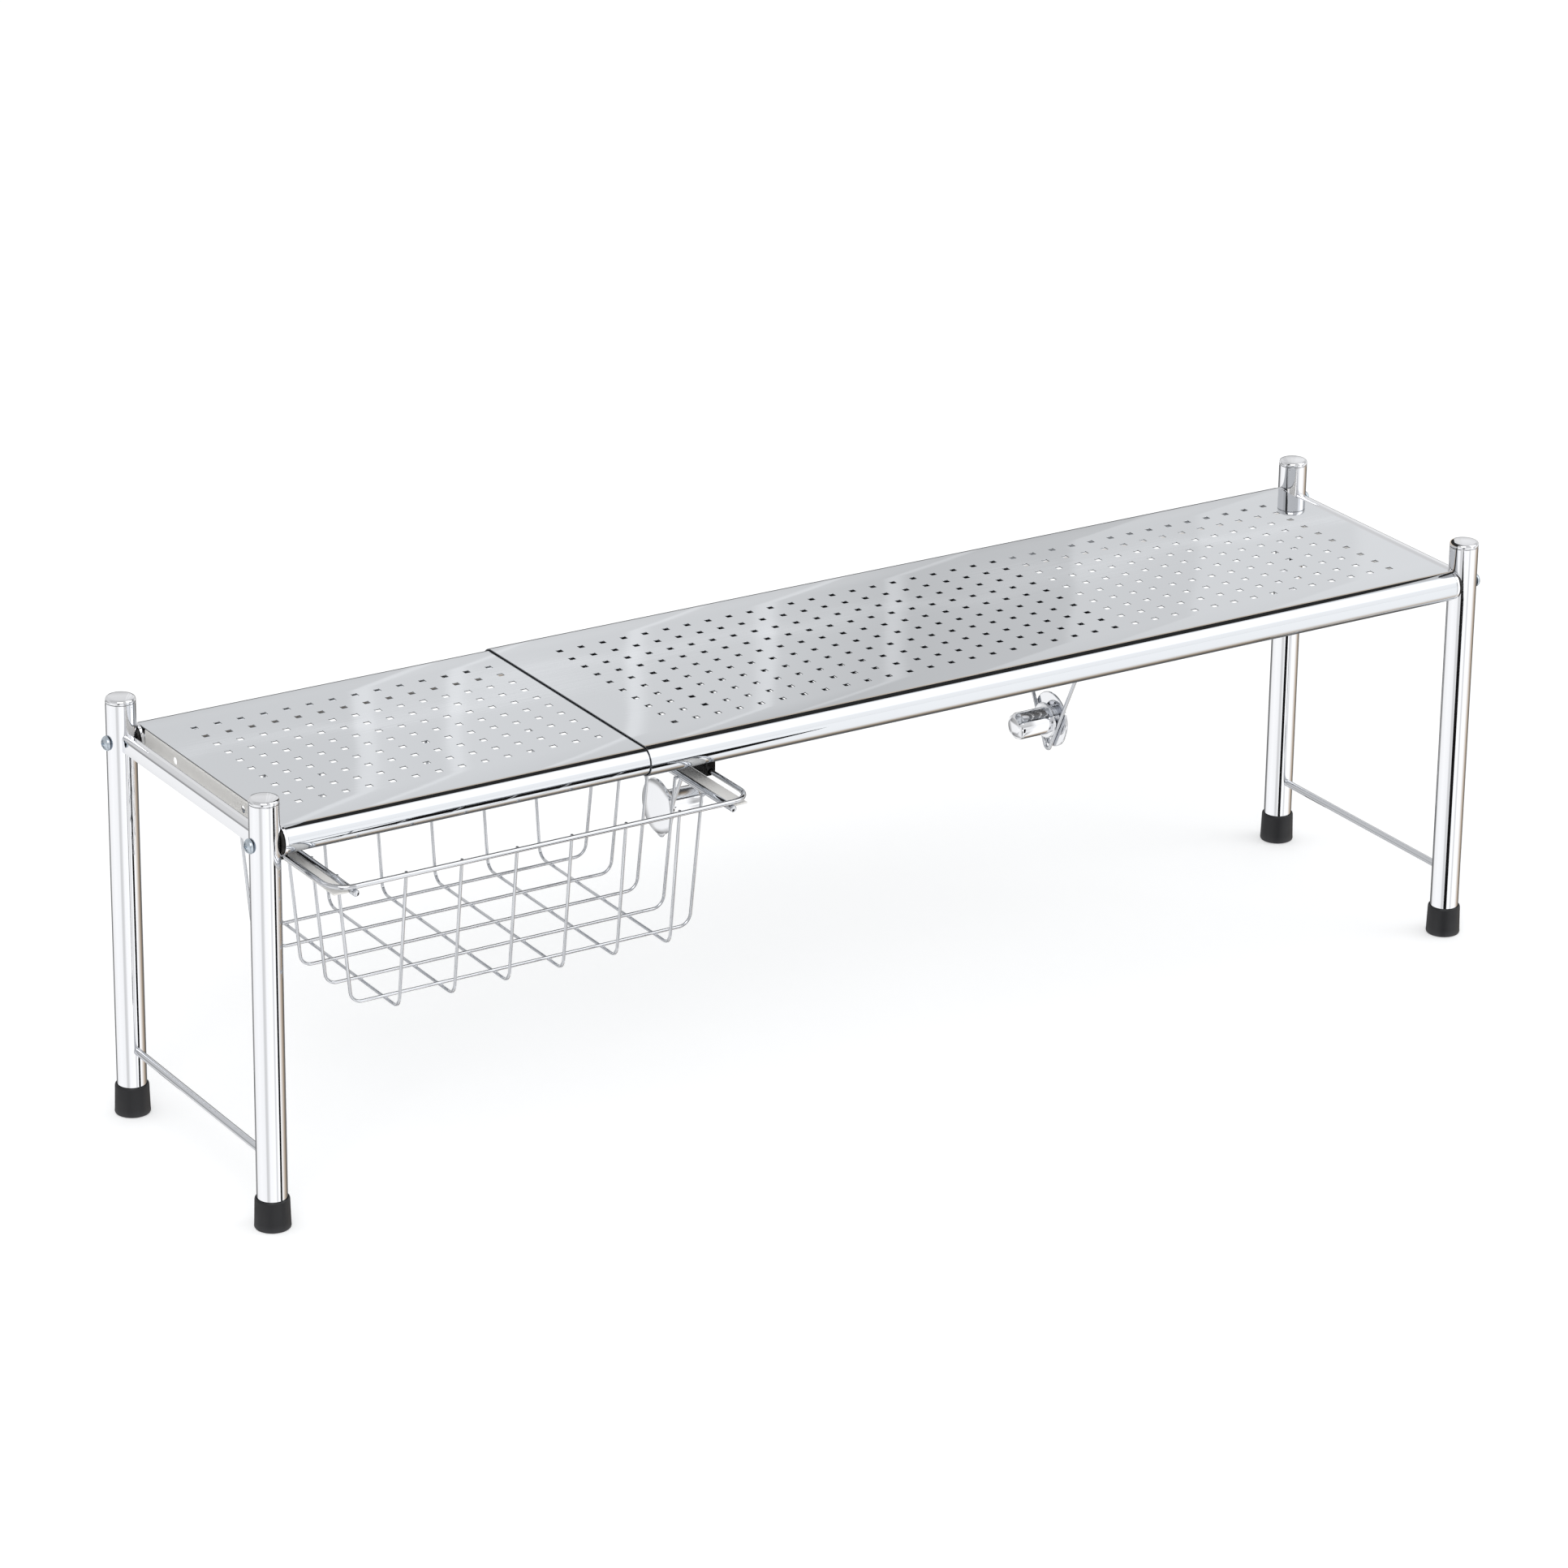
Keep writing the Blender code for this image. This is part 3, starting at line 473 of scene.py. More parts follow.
def zinc_plate(colours):
    """Bright zinc plate on steel screws: cooler and duller than chrome, with a fine cloudy grain."""
    tree, shader, place = new_material("zinc_plate", "zinc", colours.zinc)
    # Plating grain: 0.2 mm, drawn 0.6 mm so that it shows
    grain = add_node(tree, "TexNoise", {"Vector": place, "Scale": 1600.0, "Detail": 2.0})
    set_surface(tree, shader, grain, (0.0, 1.0, 0.18, 0.4), grain, 0.12)


def moulded_rubber(colours):
    """Moulded black rubber: matt with a soft sheen, scuffed paler where it meets the worktop."""
    tree, shader, place = new_material("moulded_rubber", "rubber", colours.rubber, metallic=0.0)
    # Moulded grain: 0.3 mm, drawn 0.8 mm so that it shows
    grain = add_node(tree, "TexNoise", {"Vector": place, "Scale": 1200.0, "Detail": 3.0})
    dust = add_node(tree, "TexNoise", {"Vector": place, "Scale": 140.0, "Detail": 5.0})
    # Scuffs over the lowest 5 mm
    height = add_node(tree, "SeparateXYZ", (place,)).outputs["Z"]
    lowest = add_node(tree, "MapRange", (height, 0.0, 0.005, 1.0, 0.0))
    worn = add_node(tree, "Math", (lowest, dust), operation="MULTIPLY")
    colour = add_node(tree, "Mix", {"Factor": worn, "A": (*colours.rubber, 1), "B": (*colours.scuff, 1)},
                      data_type="RGBA")
    fill_inputs(tree, shader, {"Base Color": colour})
    set_surface(tree, shader, dust, (0.0, 1.0, 0.38, 0.62), grain, 0.15)


def moulded_plastic(colours):
    """Moulded dark ABS: smooth with a broad sheen and a faint mould texture."""
    tree, shader, place = new_material("moulded_plastic", "plastic", colours.plastic, metallic=0.0)
    fill_inputs(tree, shader, {"Specular IOR Level": 0.25})
    # Spark-eroded mould texture: 0.15 mm, drawn 0.5 mm so that it shows
    grain = add_node(tree, "TexNoise", {"Vector": place, "Scale": 2000.0, "Detail": 2.0})
    cloud = add_node(tree, "TexNoise", {"Vector": place, "Scale": 90.0, "Detail": 3.0})
    set_surface(tree, shader, cloud, (0.0, 1.0, 0.10, 0.26), grain, 0.1)


class SHELF_OT_materials(bpy.types.Operator):
    """Make the finishes of the shelf"""

    bl_idname = "shelf.materials"
    bl_label = "Finishes"

    def execute(self, context):
        MATERIALS.clear()
        colours = context.scene.shelf_colours
        chrome_plate(colours)
        plated_wire(colours)
        lit_satin_plate(colours, "lit_satin_strip", "chrome")
        rolled_stainless(colours)
        shaded_mill_stainless(colours)
        lit_satin_plate(colours, "lit_satin_end", "stainless")
        zinc_plate(colours)
        moulded_rubber(colours)
        moulded_plastic(colours)
        return {"FINISHED"}


# The stage. Each stop of a ramp is its position, its level of grey and, where it is warm, its warmth

# What the metal sees overhead, from the back wall's foot (0) over the ceiling to the front wall's foot (1)
OVERHEAD = ((0.0, 0.16), (0.045, 0.18), (0.075, 0.58), (0.12, 0.72), (0.165, 0.70), (0.22, 0.66), (0.34, 0.55),
            (0.46, 0.55), (0.49, 0.80), (0.53, 1.15), (0.62, 1.25), (0.80, 1.2), (0.85, 0.93), (1.0, 0.90))
# What it sees below the horizon, clockwise from the front over left (0.25), back (0.5) and right (0.75)
AROUND = ((0.0, 1.1), (0.10, 1.05), (0.135, 0.72), (0.165, 0.70), (0.19, 1.0), (0.30, 1.05), (0.425, 0.95),
          (0.445, 0.50), (0.47, 0.25), (0.5, 0.14), (0.667, 0.12), (0.70, 0.16, 0.2), (0.75, 0.34, 0.24),
          (0.80, 0.72, 0.10), (0.85, 1.1), (0.935, 1.15), (0.955, 0.80), (0.975, 0.78), (0.985, 1.1))
# The same two where the photograph's view doesn't look: a plain soft room with a few dark gaps
OVERHEAD_ELSEWHERE = ((0.0, 0.50), (0.08, 0.66), (0.20, 0.70), (0.30, 0.58), (0.40, 0.50), (0.5, 0.66),
                      (0.60, 0.50), (0.70, 0.58), (0.80, 0.70), (0.92, 0.66), (1.0, 0.50))
AROUND_ELSEWHERE = ((0.0, 0.95), (0.08, 0.90), (0.095, 0.22), (0.125, 0.18), (0.14, 0.85), (0.27, 0.95),
                    (0.33, 0.55), (0.40, 0.40), (0.43, 0.20), (0.45, 0.85), (0.58, 0.92), (0.61, 0.40, 0.1),
                    (0.65, 0.22, 0.1), (0.68, 0.80), (0.83, 0.95), (0.88, 0.45), (0.92, 0.30), (0.94, 0.90),
                    (1.0, 0.95))
# Panels along the part of the back wall that the decks mirror, as shares of the overhead level. They have a ramp
# of their own over that part, because one round the whole room would be too coarse for their upright joints
PANELS = ((0.0, 1.06), (0.258, 1.05), (0.262, 1.26), (0.270, 1.26), (0.274, 1.13), (0.312, 1.09), (0.315, 1.28),
          (0.322, 1.28), (0.325, 1.14), (0.414, 1.08), (0.417, 1.26), (0.424, 1.26), (0.427, 1.08), (0.440, 1.07),
          (0.490, 1.05), (0.493, 1.20), (0.500, 1.20), (0.503, 1.02), (0.563, 0.91), (0.566, 1.06), (0.573, 1.06),
          (0.576, 0.88), (0.668, 0.92), (0.672, 1.06), (0.738, 1.04), (0.742, 1.13), (0.828, 1.12), (0.834, 1.20),
          (1.0, 1.20))
PANEL_START = 0.565
PANEL_WIDTH = 0.048
# The panels' level joint: its place on the overhead scale, half its width and how much paler it is
PANEL_JOINT = 0.1331
PANEL_JOINT_HALF = 0.00025
PANEL_JOINT_LIGHT = 0.16
# The directions that the photograph's view mirrors: the part along X and the upward part, each with its reach
SEEN_ALONG = (0.485, 0.13)
SEEN_BELOW = (-0.375, 0.085)
MIRRORED_LEVEL = 1.15
OTHER_LIGHT = (0.80, 0.81, 0.82, 1)
FLOOR_COLOUR = (0.80, 0.80, 0.80, 1)
FLOOR_GLOW = 0.36


def grey(level, warmth=0.0):
    return (level * (1 + warmth), level, level * (1 - warmth))


# Flats that only mirroring surfaces see: name, lowest and highest corner, which way it faces along Y, and its light
FLATS = (("leg_flat", (-0.05, -0.61, -0.45), (0.27, -0.61, 0.04), 1, grey(0.01)),
         ("front_rail_flat", (-0.404, -0.0573, 0.2826), (0.450, -0.0573, 0.545), -1, grey(0.03)),
         ("front_edge_flat", (-0.404, -0.0573, 0.2745), (0.450, -0.0573, 0.2826), -1, grey(0.62, 0.16)),
         ("back_rail_flat", (-0.40, 0.0927, 0.2826), (0.40, 0.0927, 0.42), 1, grey(0.05)))


def set_ramp(node, stops):
    """Gives a colour ramp its stops."""
    elements = node.color_ramp.elements
    while len(elements) < len(stops):
        elements.new(0.5)
    for element, (position, *light) in zip(elements, stops):
        element.position = position
        element.color = (*grey(*light), 1)
    return node


def near_value(tree, value, middle, reach):
    """1 within a reach of a middle value, falling to 0 over half as much again."""
    offset = add_node(tree, "Math", (value, middle), operation="SUBTRACT")
    distance = add_node(tree, "Math", (offset,), operation="ABSOLUTE")
    return add_node(tree, "MapRange", (distance, reach, reach * 1.5, 1.0, 0.0))


def mirrored_room(tree):
    """The room of pale walls and panels that everything that mirrors sees."""
    coordinates = add_node(tree, "TexCoord").outputs["Generated"]
    way = add_node(tree, "SeparateXYZ", (coordinates,)).outputs
    tilt = add_node(tree, "Math", (way["Z"], way["Y"]), operation="ARCTAN2")
    tilt = add_node(tree, "Math", (tilt, math.pi), operation="DIVIDE")
    turn = add_node(tree, "Math", (way["X"], way["Y"]), operation="ARCTAN2")
    turn = add_node(tree, "Math", (turn, 1 / math.tau, 0.5), operation="MULTIPLY_ADD")
    share = add_node(tree, "MapRange", (turn, PANEL_START, PANEL_START + PANEL_WIDTH))
    panels = set_ramp(add_node(tree, "ValToRGB", (share,)), PANELS)
    joint = add_node(tree, "Math", (tilt, PANEL_JOINT, PANEL_JOINT_HALF), operation="COMPARE")
    paler = add_node(tree, "Math", (joint, PANEL_JOINT_LIGHT, 1.0), operation="MULTIPLY_ADD")
    jointed = add_node(tree, "VectorMath", {0: panels, "Scale": paler}, operation="SCALE")
    overhead = set_ramp(add_node(tree, "ValToRGB", (tilt,)), OVERHEAD)
    walls = add_node(tree, "VectorMath", (overhead, jointed), operation="MULTIPLY")
    around = set_ramp(add_node(tree, "ValToRGB", (turn,)), AROUND)
    along, below = near_value(tree, way["X"], *SEEN_ALONG), near_value(tree, way["Z"], *SEEN_BELOW)
    either = add_node(tree, "Math", (along, below), operation="MAXIMUM")
    parts = []
    for share, stops, seen, weight in ((turn, AROUND_ELSEWHERE, around, either),
                                       (tilt, OVERHEAD_ELSEWHERE, walls, along)):
        plain = set_ramp(add_node(tree, "ValToRGB", (share,)), stops)
        parts.append(add_node(tree, "Mix", {"Factor": weight, "A": plain, "B": seen}, data_type="RGBA"))
    up = add_node(tree, "MapRange", (way["Z"], -0.02, 0.02))
    room = add_node(tree, "Mix", {"Factor": up, "A": parts[0], "B": parts[1]}, data_type="RGBA")
    return add_node(tree, "VectorMath", {0: room, "Scale": MIRRORED_LEVEL}, operation="SCALE")


def studio_world():
    """White to the camera, a room to everything that mirrors, and even light to the rest."""
    world = bpy.data.worlds.new("studio")
    bpy.context.scene.world = world
    world.use_nodes = True
    tree = world.node_tree
    tree.nodes.clear()
    path = add_node(tree, "LightPath").outputs
    seen = add_node(tree, "Math", (path["Is Camera Ray"], path["Is Transmission Ray"]), operation="MAXIMUM")
    unseen = add_node(tree, "Mix", {"Factor": path["Is Glossy Ray"], "A": OTHER_LIGHT, "B": mirrored_room(tree)},
                      data_type="RGBA")
    colour = add_node(tree, "Mix", {"Factor": seen, "A": unseen, "B": (1, 1, 1, 1)}, data_type="RGBA")
    back = add_node(tree, "Background", {"Color": colour, "Strength": 1.0})
    add_node(tree, "OutputWorld", {"Surface": back})


def stage_material(name):
    """An empty material for a piece of the stage, and its node tree."""
    material = bpy.data.materials.new(name)
    material.use_nodes = True
    material.node_tree.nodes.clear()
    return material, material.node_tree


def add_floor():
    """A plain pale floor that keeps the shelf's shadow and shows white to the camera."""
    shape = bmesh.new()
    bmesh.ops.create_grid(shape, x_segments=1, y_segments=1, size=30.0)
    floor = to_object("floor", shape)
    material, tree = stage_material("studio_floor")
    path = add_node(tree, "LightPath").outputs
    lit = add_node(tree, "BsdfDiffuse", {"Color": FLOOR_COLOUR})
    seen = add_node(tree, "Math", (path["Is Camera Ray"], path["Is Glossy Ray"]), operation="MAXIMUM")
    level = add_node(tree, "Math", (seen, FLOOR_GLOW), operation="MULTIPLY")
    glow = add_node(tree, "Emission", {"Color": (1, 1, 1, 1), "Strength": level})
    both = add_node(tree, "AddShader", (lit, glow))
    add_node(tree, "OutputMaterial", {"Surface": both})
    floor.data.materials.append(material)
    floor.visible_glossy = False


def add_flat(name, low, high, facing, light):
    """A plain upright flat that only mirroring surfaces see, and only from the side that it faces."""
    corners = [(low[0], low[1], low[2]), (high[0], low[1], low[2]), (high[0], low[1], high[2]),
               (low[0], low[1], high[2])]
    shape = bmesh.new()
    shape.faces.new([shape.verts.new(corner) for corner in (corners if facing < 0 else corners[::-1])])
    item = to_object(name, shape)
    material, tree = stage_material(name)
    front = add_node(tree, "Emission", {"Color": (*light, 1)})
    rear = add_node(tree, "BsdfTransparent")
    side = add_node(tree, "NewGeometry").outputs["Backfacing"]
    both = add_node(tree, "MixShader", (side, front, rear))
    add_node(tree, "OutputMaterial", {"Surface": both})
    item.data.materials.append(material)
    for ray in ("camera", "diffuse", "transmission", "volume_scatter", "shadow"):
        setattr(item, f"visible_{ray}", False)


def softbox(name, place, aim, width, height, power):
    lamp = bpy.data.lights.new(name, "AREA")
    lamp.shape = "RECTANGLE"
    lamp.size = width
    lamp.size_y = height
    lamp.energy = power
    item = bpy.data.objects.new(name, lamp)
    item.location = place
    item.rotation_euler = (Vector(aim) - Vector(place)).to_track_quat("-Z", "Y").to_euler()
    bpy.context.scene.collection.objects.link(item)


def add_camera():
    azimuth, elevation, roll = CAMERA_AZIMUTH, CAMERA_ELEVATION, CAMERA_ROLL
    back = Vector((math.sin(azimuth) * math.cos(elevation), -math.cos(azimuth) * math.cos(elevation),
                   math.sin(elevation)))
    right = Vector((math.cos(azimuth), math.sin(azimuth), 0))
    up = back.cross(right)
    turned_right = right * math.cos(roll) + up * math.sin(roll)
    turned_up = up * math.cos(roll) - right * math.sin(roll)
    camera = bpy.data.cameras.new("camera")
    camera.sensor_fit = "HORIZONTAL"
    camera.sensor_width = 36.0
    camera.lens = CAMERA_LENS_MM
    camera.clip_start = 0.1
    camera.clip_end = 100.0
    item = bpy.data.objects.new("camera", camera)
    turn = Matrix((turned_right, turned_up, back)).transposed().to_4x4()
    item.matrix_world = Matrix.Translation(CAMERA_AIM + back * CAMERA_DISTANCE) @ turn
    bpy.context.scene.collection.objects.link(item)
    bpy.context.scene.camera = item


class SHELF_OT_stage(bpy.types.Operator):
    """Set up the floor, the soft light and the camera"""

    bl_idname = "shelf.stage"
    bl_label = "Stage"

    def execute(self, context):
        context.scene.view_settings.view_transform = "Standard"
        studio_world()
        add_floor()
        softbox("key_softbox", (-1.6, -2.2, 2.6), (0, 0, 0.15), 2.2, 1.6, 30)
        softbox("fill_softbox", (2.4, -1.2, 1.8), (0, 0, 0.15), 1.6, 1.6, 10)
        for flat in FLATS:
            add_flat(*flat)
        add_camera()
        return {"FINISHED"}


# The leg frames


def leg_cutter(side, depth, radius):
    """A rod a little wider than a leg, in the leg's place, to cut with."""
    post = centre(f"{side}_{depth}_leg")
    return cylinder(radius + LEG_CLEARANCE, 0.4, (post.x, post.y, 0.15), steps=ROUND_STEPS)


def add_leg(corner, body, place, radius):
    low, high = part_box(f"{corner}_leg")
    inner = radius - TUBE_WALL
    tube = lathe([(radius, high.z), (radius, low.z), (inner, low.z), (inner, high.z)], ring=True)
    add_piece(f"{corner}_leg_tube", placed(tube, place), body, "chrome", [f"{corner}_leg"], bevel=0.0002)
    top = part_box(f"{corner}_leg_cap")[1].z
    under = top - CAP_HEIGHT
    inner = radius - CAP_PLUG_STEP
    cap = [(0, top), (radius - 0.0020, top), (radius - 0.0009, top - 0.0002), (radius - 0.0003, top - 0.0007),
           (radius, top - 0.0016), (radius, under), (inner, under), (inner, under - CAP_PLUG_HEIGHT),
           (0, under - CAP_PLUG_HEIGHT)]
    add_piece(f"{corner}_cap", placed(lathe(cap), place), body, "chrome", [f"{corner}_leg_cap"], bevel=0.00015)


def add_foot(corner, body, place, radius):
    base = size(f"{corner}_foot").x / 2
    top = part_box(f"{corner}_foot")[1].z
    bore = radius + 0.0003
    profile = [(0, FOOT_RECESS), (base - 0.0045, FOOT_RECESS), (base - 0.0040, 0), (base - 0.0011, 0),
               (base - 0.0003, 0.0004), (base, 0.0012), (base - 0.00012, 0.003), (0.01082, top - 0.0012),
               (0.01062, top - 0.0004), (0.0102, top), (bore, top), (bore, FOOT_FLOOR), (0, FOOT_FLOOR)]
    add_piece(f"{corner}_rubber_foot", placed(lathe(profile), place), body, "rubber", [f"{corner}_foot"])


def add_screw(corner, body, way):
    low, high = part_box(f"{corner}_leg_screw")
    radius = (high.z - low.z) / 2
    head = SCREW_HEAD
    profile = [(0, head), (radius * 0.3, head * 0.98), (radius * 0.6, head * 0.88), (radius * 0.82, head * 0.68),
               (radius * 0.95, head * 0.4), (radius, head * 0.12), (radius * 0.985, 0), (SCREW_SHANK_RADIUS, 0),
               (SCREW_SHANK_RADIUS, -0.029), (0, -0.030)]
    width, reach, deep = SCREW_RECESS_HALF_WIDTH, SCREW_RECESS_REACH, SCREW_RECESS_DEPTH
    recess = [bar((-x, -y, head - deep), (x, y, head + 0.001)) for x, y in ((width, reach), (reach, width))]
    shape = carved(lathe(profile, steps=40), *recess)
    place = centre(f"{corner}_leg_screw")
    place.x = high.x - head if way > 0 else low.x + head
    placed(shape, place, OUTWARD[way] @ Matrix.Rotation(SCREW_TURN, 4, "Z"))
    add_piece(f"{corner}_screw", shape, body, "zinc", [f"{corner}_leg_screw"], bevel=0.00012)


class SHELF_OT_legs(bpy.types.Operator):
    """Build the four leg tubes with their caps, feet and screws"""

    bl_idname = "shelf.legs"
    bl_label = "Legs"

    def execute(self, context):
        radius = context.scene.shelf_sizes.leg / 2
        for side, way in SIDES.items():
            for depth in DEPTHS:
                corner = f"{side}_{depth}"
                place = centre(f"{corner}_leg")
                place.z = 0
                add_leg(corner, SIDE_BODY[side], place, radius)
                add_foot(corner, SIDE_BODY[side], place, radius)
                add_screw(corner, SIDE_BODY[side], way)
        return {"FINISHED"}


class SHELF_OT_bars(bpy.types.Operator):
    """Build the cross bar and the lower rod of each leg frame"""

    bl_idname = "shelf.bars"
    bl_label = "Bars and rods"

    def execute(self, context):
        leg = context.scene.shelf_sizes.leg / 2
        for side, body in SIDE_BODY.items():
            front, back = (centre(f"{side}_{depth}_leg").y for depth in DEPTHS)
            low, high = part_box(f"{side}_cross_bar")
            shape = bar((low.x, front, low.z), (high.x, back, high.z))
            tops = [edge for edge in shape.edges if all(abs(vert.co.z - high.z) < SAME_PLACE for vert in edge.verts)
                    and abs(edge.verts[0].co.x - edge.verts[1].co.x) < SAME_PLACE]
            bevelled(shape, tops, BAR_ROUNDING, 6)
            shape = carved(shape, *[leg_cutter(side, depth, leg) for depth in DEPTHS])
            add_piece(f"{side}_top_bar", shape, body, "chrome", [f"{side}_cross_bar"], bevel=0.0005)
            rod = centre(f"{side}_lower_rod")
            shape = wire([(rod.x, front, rod.z), (rod.x, back, rod.z)], size(f"{side}_lower_rod").z / 2, 0,
                         sides=STOUT_WIRE_SIDES)
            shape = carved(shape, *[leg_cutter(side, depth, leg) for depth in DEPTHS])
            add_piece(f"{side}_bottom_rod", shape, body, "chrome_wire", [f"{side}_lower_rod"])
        return {"FINISHED"}


def add_plug(side, depth, way, leg):
    name = f"{side}_{depth}_end_plug"
    low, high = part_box(name)
    radius = (high.z - low.z) / 2
    length = high.x - low.x
    neck = PLUG_NECK_RADIUS[side]
    profile = [(PLUG_BORE_RADIUS, length), (radius - 0.0004, length), (radius, length - 0.0004),
               (radius, 0.0165), (radius - 0.0003, 0.0162), (neck, 0.0162), (neck, 0.0140), (0.0072, 0.0138),
               (0.0070, 0.0002), (0.0066, 0), (PLUG_BORE_RADIUS, 0)]
    place = Vector((low.x if way > 0 else high.x, centre(f"{side}_{depth}_leg").y, centre(name).z))
    shape = placed(lathe(profile, steps=48, ring=True), place, OUTWARD[way])
    shape = carved(shape, leg_cutter(side, depth, leg))
    add_piece(f"{side}_{depth}_plug", shape, SIDE_BODY[side], "plastic", [name])
    band = [(radius - 0.0008, 0.0140), (radius + 0.0004, 0.0140), (radius + 0.0006, 0.0142),
            (radius + 0.0006, 0.0158), (radius + 0.0004, 0.0160), (radius - 0.0008, 0.0160)]
    band = placed(lathe(band, ring=True), place, OUTWARD[way])
    add_piece(f"{side}_{depth}_plug_ring", band, SIDE_BODY[side], "chrome")


class SHELF_OT_plugs(bpy.types.Operator):
    """Build the moulded plugs between the rolled edges and the legs, each with a chrome ring"""

    bl_idname = "shelf.plugs"
    bl_label = "End plugs"

    def execute(self, context):
        leg = context.scene.shelf_sizes.leg / 2
        for side, way in SIDES.items():
            for depth in DEPTHS:
                add_plug(side, depth, way, leg)
        return {"FINISHED"}


# The two decks


def add_deck(sizes, name, side, pitch_x, pitch_y):
    """A sheet with rows of holes, grown to its full size and rolled along both long edges."""
    way = SIDES[side]
    low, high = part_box(f"{name}_deck")
    top = high.z
    middle_y = (low.y + high.y) / 2
    leg_end, free_end = (high.x, low.x) if way > 0 else (low.x, high.x)
    first = leg_end - way * DECK_MARGIN[name]
    last = first - way * pitch_x * (DECK_COLUMNS[name] - 1)
    back = middle_y + DECK_BACK_ROW
    shape = punched_sheet(sizes, name, pitch_x, pitch_y, ((first + last) / 2, back, top))
    for row, target in ((DECK_ROWS - 0.5, low.y), (-0.5, high.y)):
        extruded_edges(shape, border(shape, 1, back - pitch_y * row), to=target, coordinate=1)
    moved = DECK_SHIFT[name][1]
    extruded_edges(shape, border(shape, 0, first + way * pitch_x / 2), to=leg_end)
    extruded_edges(shape, border(shape, 0, last - way * pitch_x / 2 + moved), to=free_end)
    radius = size(f"{name}_front_rail").z / 2
    for depth, line in zip(DEPTHS.values(), (low.y, high.y)):
        grown(shape, with_vertices(border(shape, 1, line)), cent=(0, line, top - radius), axis=(1, 0, 0),
              angle=-depth * ROLL_ANGLE, steps=ROLL_STEPS)
    bmesh.ops.remove_doubles(shape, verts=shape.verts, dist=MERGE_DISTANCE)
    bmesh.ops.recalc_face_normals(shape, faces=shape.faces)
    flat = next(face for face in shape.faces if abs(face.calc_center_median().z - top) < SAME_PLACE)
    if flat.normal.z < 0:
        bmesh.ops.reverse_faces(shape, faces=shape.faces)
    nodes = [f"{name}_deck", f"{name}_front_rail", f"{name}_back_rail"]
    item = add_piece(f"{name}_perforated_deck", shape, SIDE_BODY[side], "stainless", nodes, closed=False)
    item.data.materials.append(MATERIALS["shaded_stainless_inside"])
    solid = item.modifiers.new("sheet", "SOLIDIFY")
    solid.thickness = sizes.sheet
    solid.offset = -1.0
    # Only the outer deck's underside takes the darker inner-side grey, painted shade for the gap between the decks.
    # The strips and rods under it mirror the inner deck's bright underside
    solid.material_offset = 1 if name == "outer" else 0
    solid.material_offset_rim = 1
    edge_bevel(item, 0.00018, segments=1)
    add_turned_end(sizes, name, side, leg_end, top, middle_y)


def punched_sheet(sizes, name, pitch_x, pitch_y, back_middle):
    """A flat sheet with its holes punched, that reaches half a pitch past the outer ones."""
    columns = DECK_COLUMNS[name]
    middle_x, back, top = back_middle
    shape = bmesh.new()
    bmesh.ops.create_grid(shape, x_segments=columns, y_segments=DECK_ROWS, size=1.0)
    bmesh.ops.scale(shape, vec=(pitch_x * columns / 2, pitch_y * DECK_ROWS / 2, 1), verts=shape.verts)
    bmesh.ops.translate(shape, vec=(middle_x, back - pitch_y * (DECK_ROWS - 1) / 2, top), verts=shape.verts)
    start, along, across = DECK_SHIFT[name]
    bmesh.ops.translate(shape, vec=(along, 0, 0), verts=[vert for vert in shape.verts if vert.co.x > start])
    cells = list(shape.faces)
    bmesh.ops.inset_individual(shape, faces=cells, thickness=pitch_y * 0.3, depth=0, use_even_offset=True)
    corners = []
    for cell in cells:
        middle = cell.calc_center_median()
        verts = list(cell.verts)
        corners += verts
        wide, deep = (max(v.co[i] for v in verts) - min(v.co[i] for v in verts) for i in (0, 1))
        bmesh.ops.scale(shape, vec=(sizes.hole / wide, sizes.hole / deep, 1), verts=verts,
                        space=Matrix.Translation(-middle))
        if middle.x > start + along:
            bmesh.ops.translate(shape, vec=(0, across, 0), verts=verts)
    bevelled(shape, corners, sizes.hole_corner, 1, "VERTICES")
    punched = [face for face in shape.faces if len(face.verts) >= 8]
    if len(punched) != columns * DECK_ROWS:
        raise RuntimeError(f"{name} deck: {len(punched)} holes")
    bmesh.ops.delete(shape, geom=punched, context="FACES")
    return shape


def add_turned_end(sizes, name, side, leg_end, top, middle_y):
    """The turned-down end between the rolled edges, with its two small holes."""
    way = SIDES[side]
    low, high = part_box(f"{name}_end_flange")
    under = top - sizes.sheet - 0.0001
    inner = leg_end - way * (sizes.sheet + END_LIP)
    shape = bmesh.new()
    start = [shape.verts.new((inner, y, under)) for y in (low.y, high.y)]
    line = extruded_edges(shape, [shape.edges.new(start)], to=leg_end - way * END_BEND)
    ring = grown(shape, with_vertices(line), cent=(leg_end - way * END_BEND, 0, under - END_BEND),
                 axis=(0, 1, 0), angle=way * math.pi / 2, steps=8)
    grown(shape, ring, move=(0, 0, low.z - (under - END_BEND)))
    bmesh.ops.recalc_face_normals(shape, faces=shape.faces)
    outer = max(shape.faces, key=lambda face: face.calc_center_median().x * way)
    if outer.normal.x * way < 0:
        bmesh.ops.reverse_faces(shape, faces=shape.faces)
    bmesh.ops.solidify(shape, geom=shape.faces, thickness=sizes.sheet)
    holes = [cylinder(END_HOLE_RADIUS, 0.02, (leg_end, middle_y + depth * END_HOLE_OFFSET,
                                              high.z - END_HOLE_DROP), ALONG_X) for depth in DEPTHS.values()]
    # The turned end takes the pale satin copy of the stainless: painted light
    add_piece(f"{name}_turned_end", carved(shape, *holes), SIDE_BODY[side], "lit_satin_end", [f"{name}_end_flange"],
              bevel=0.00015)


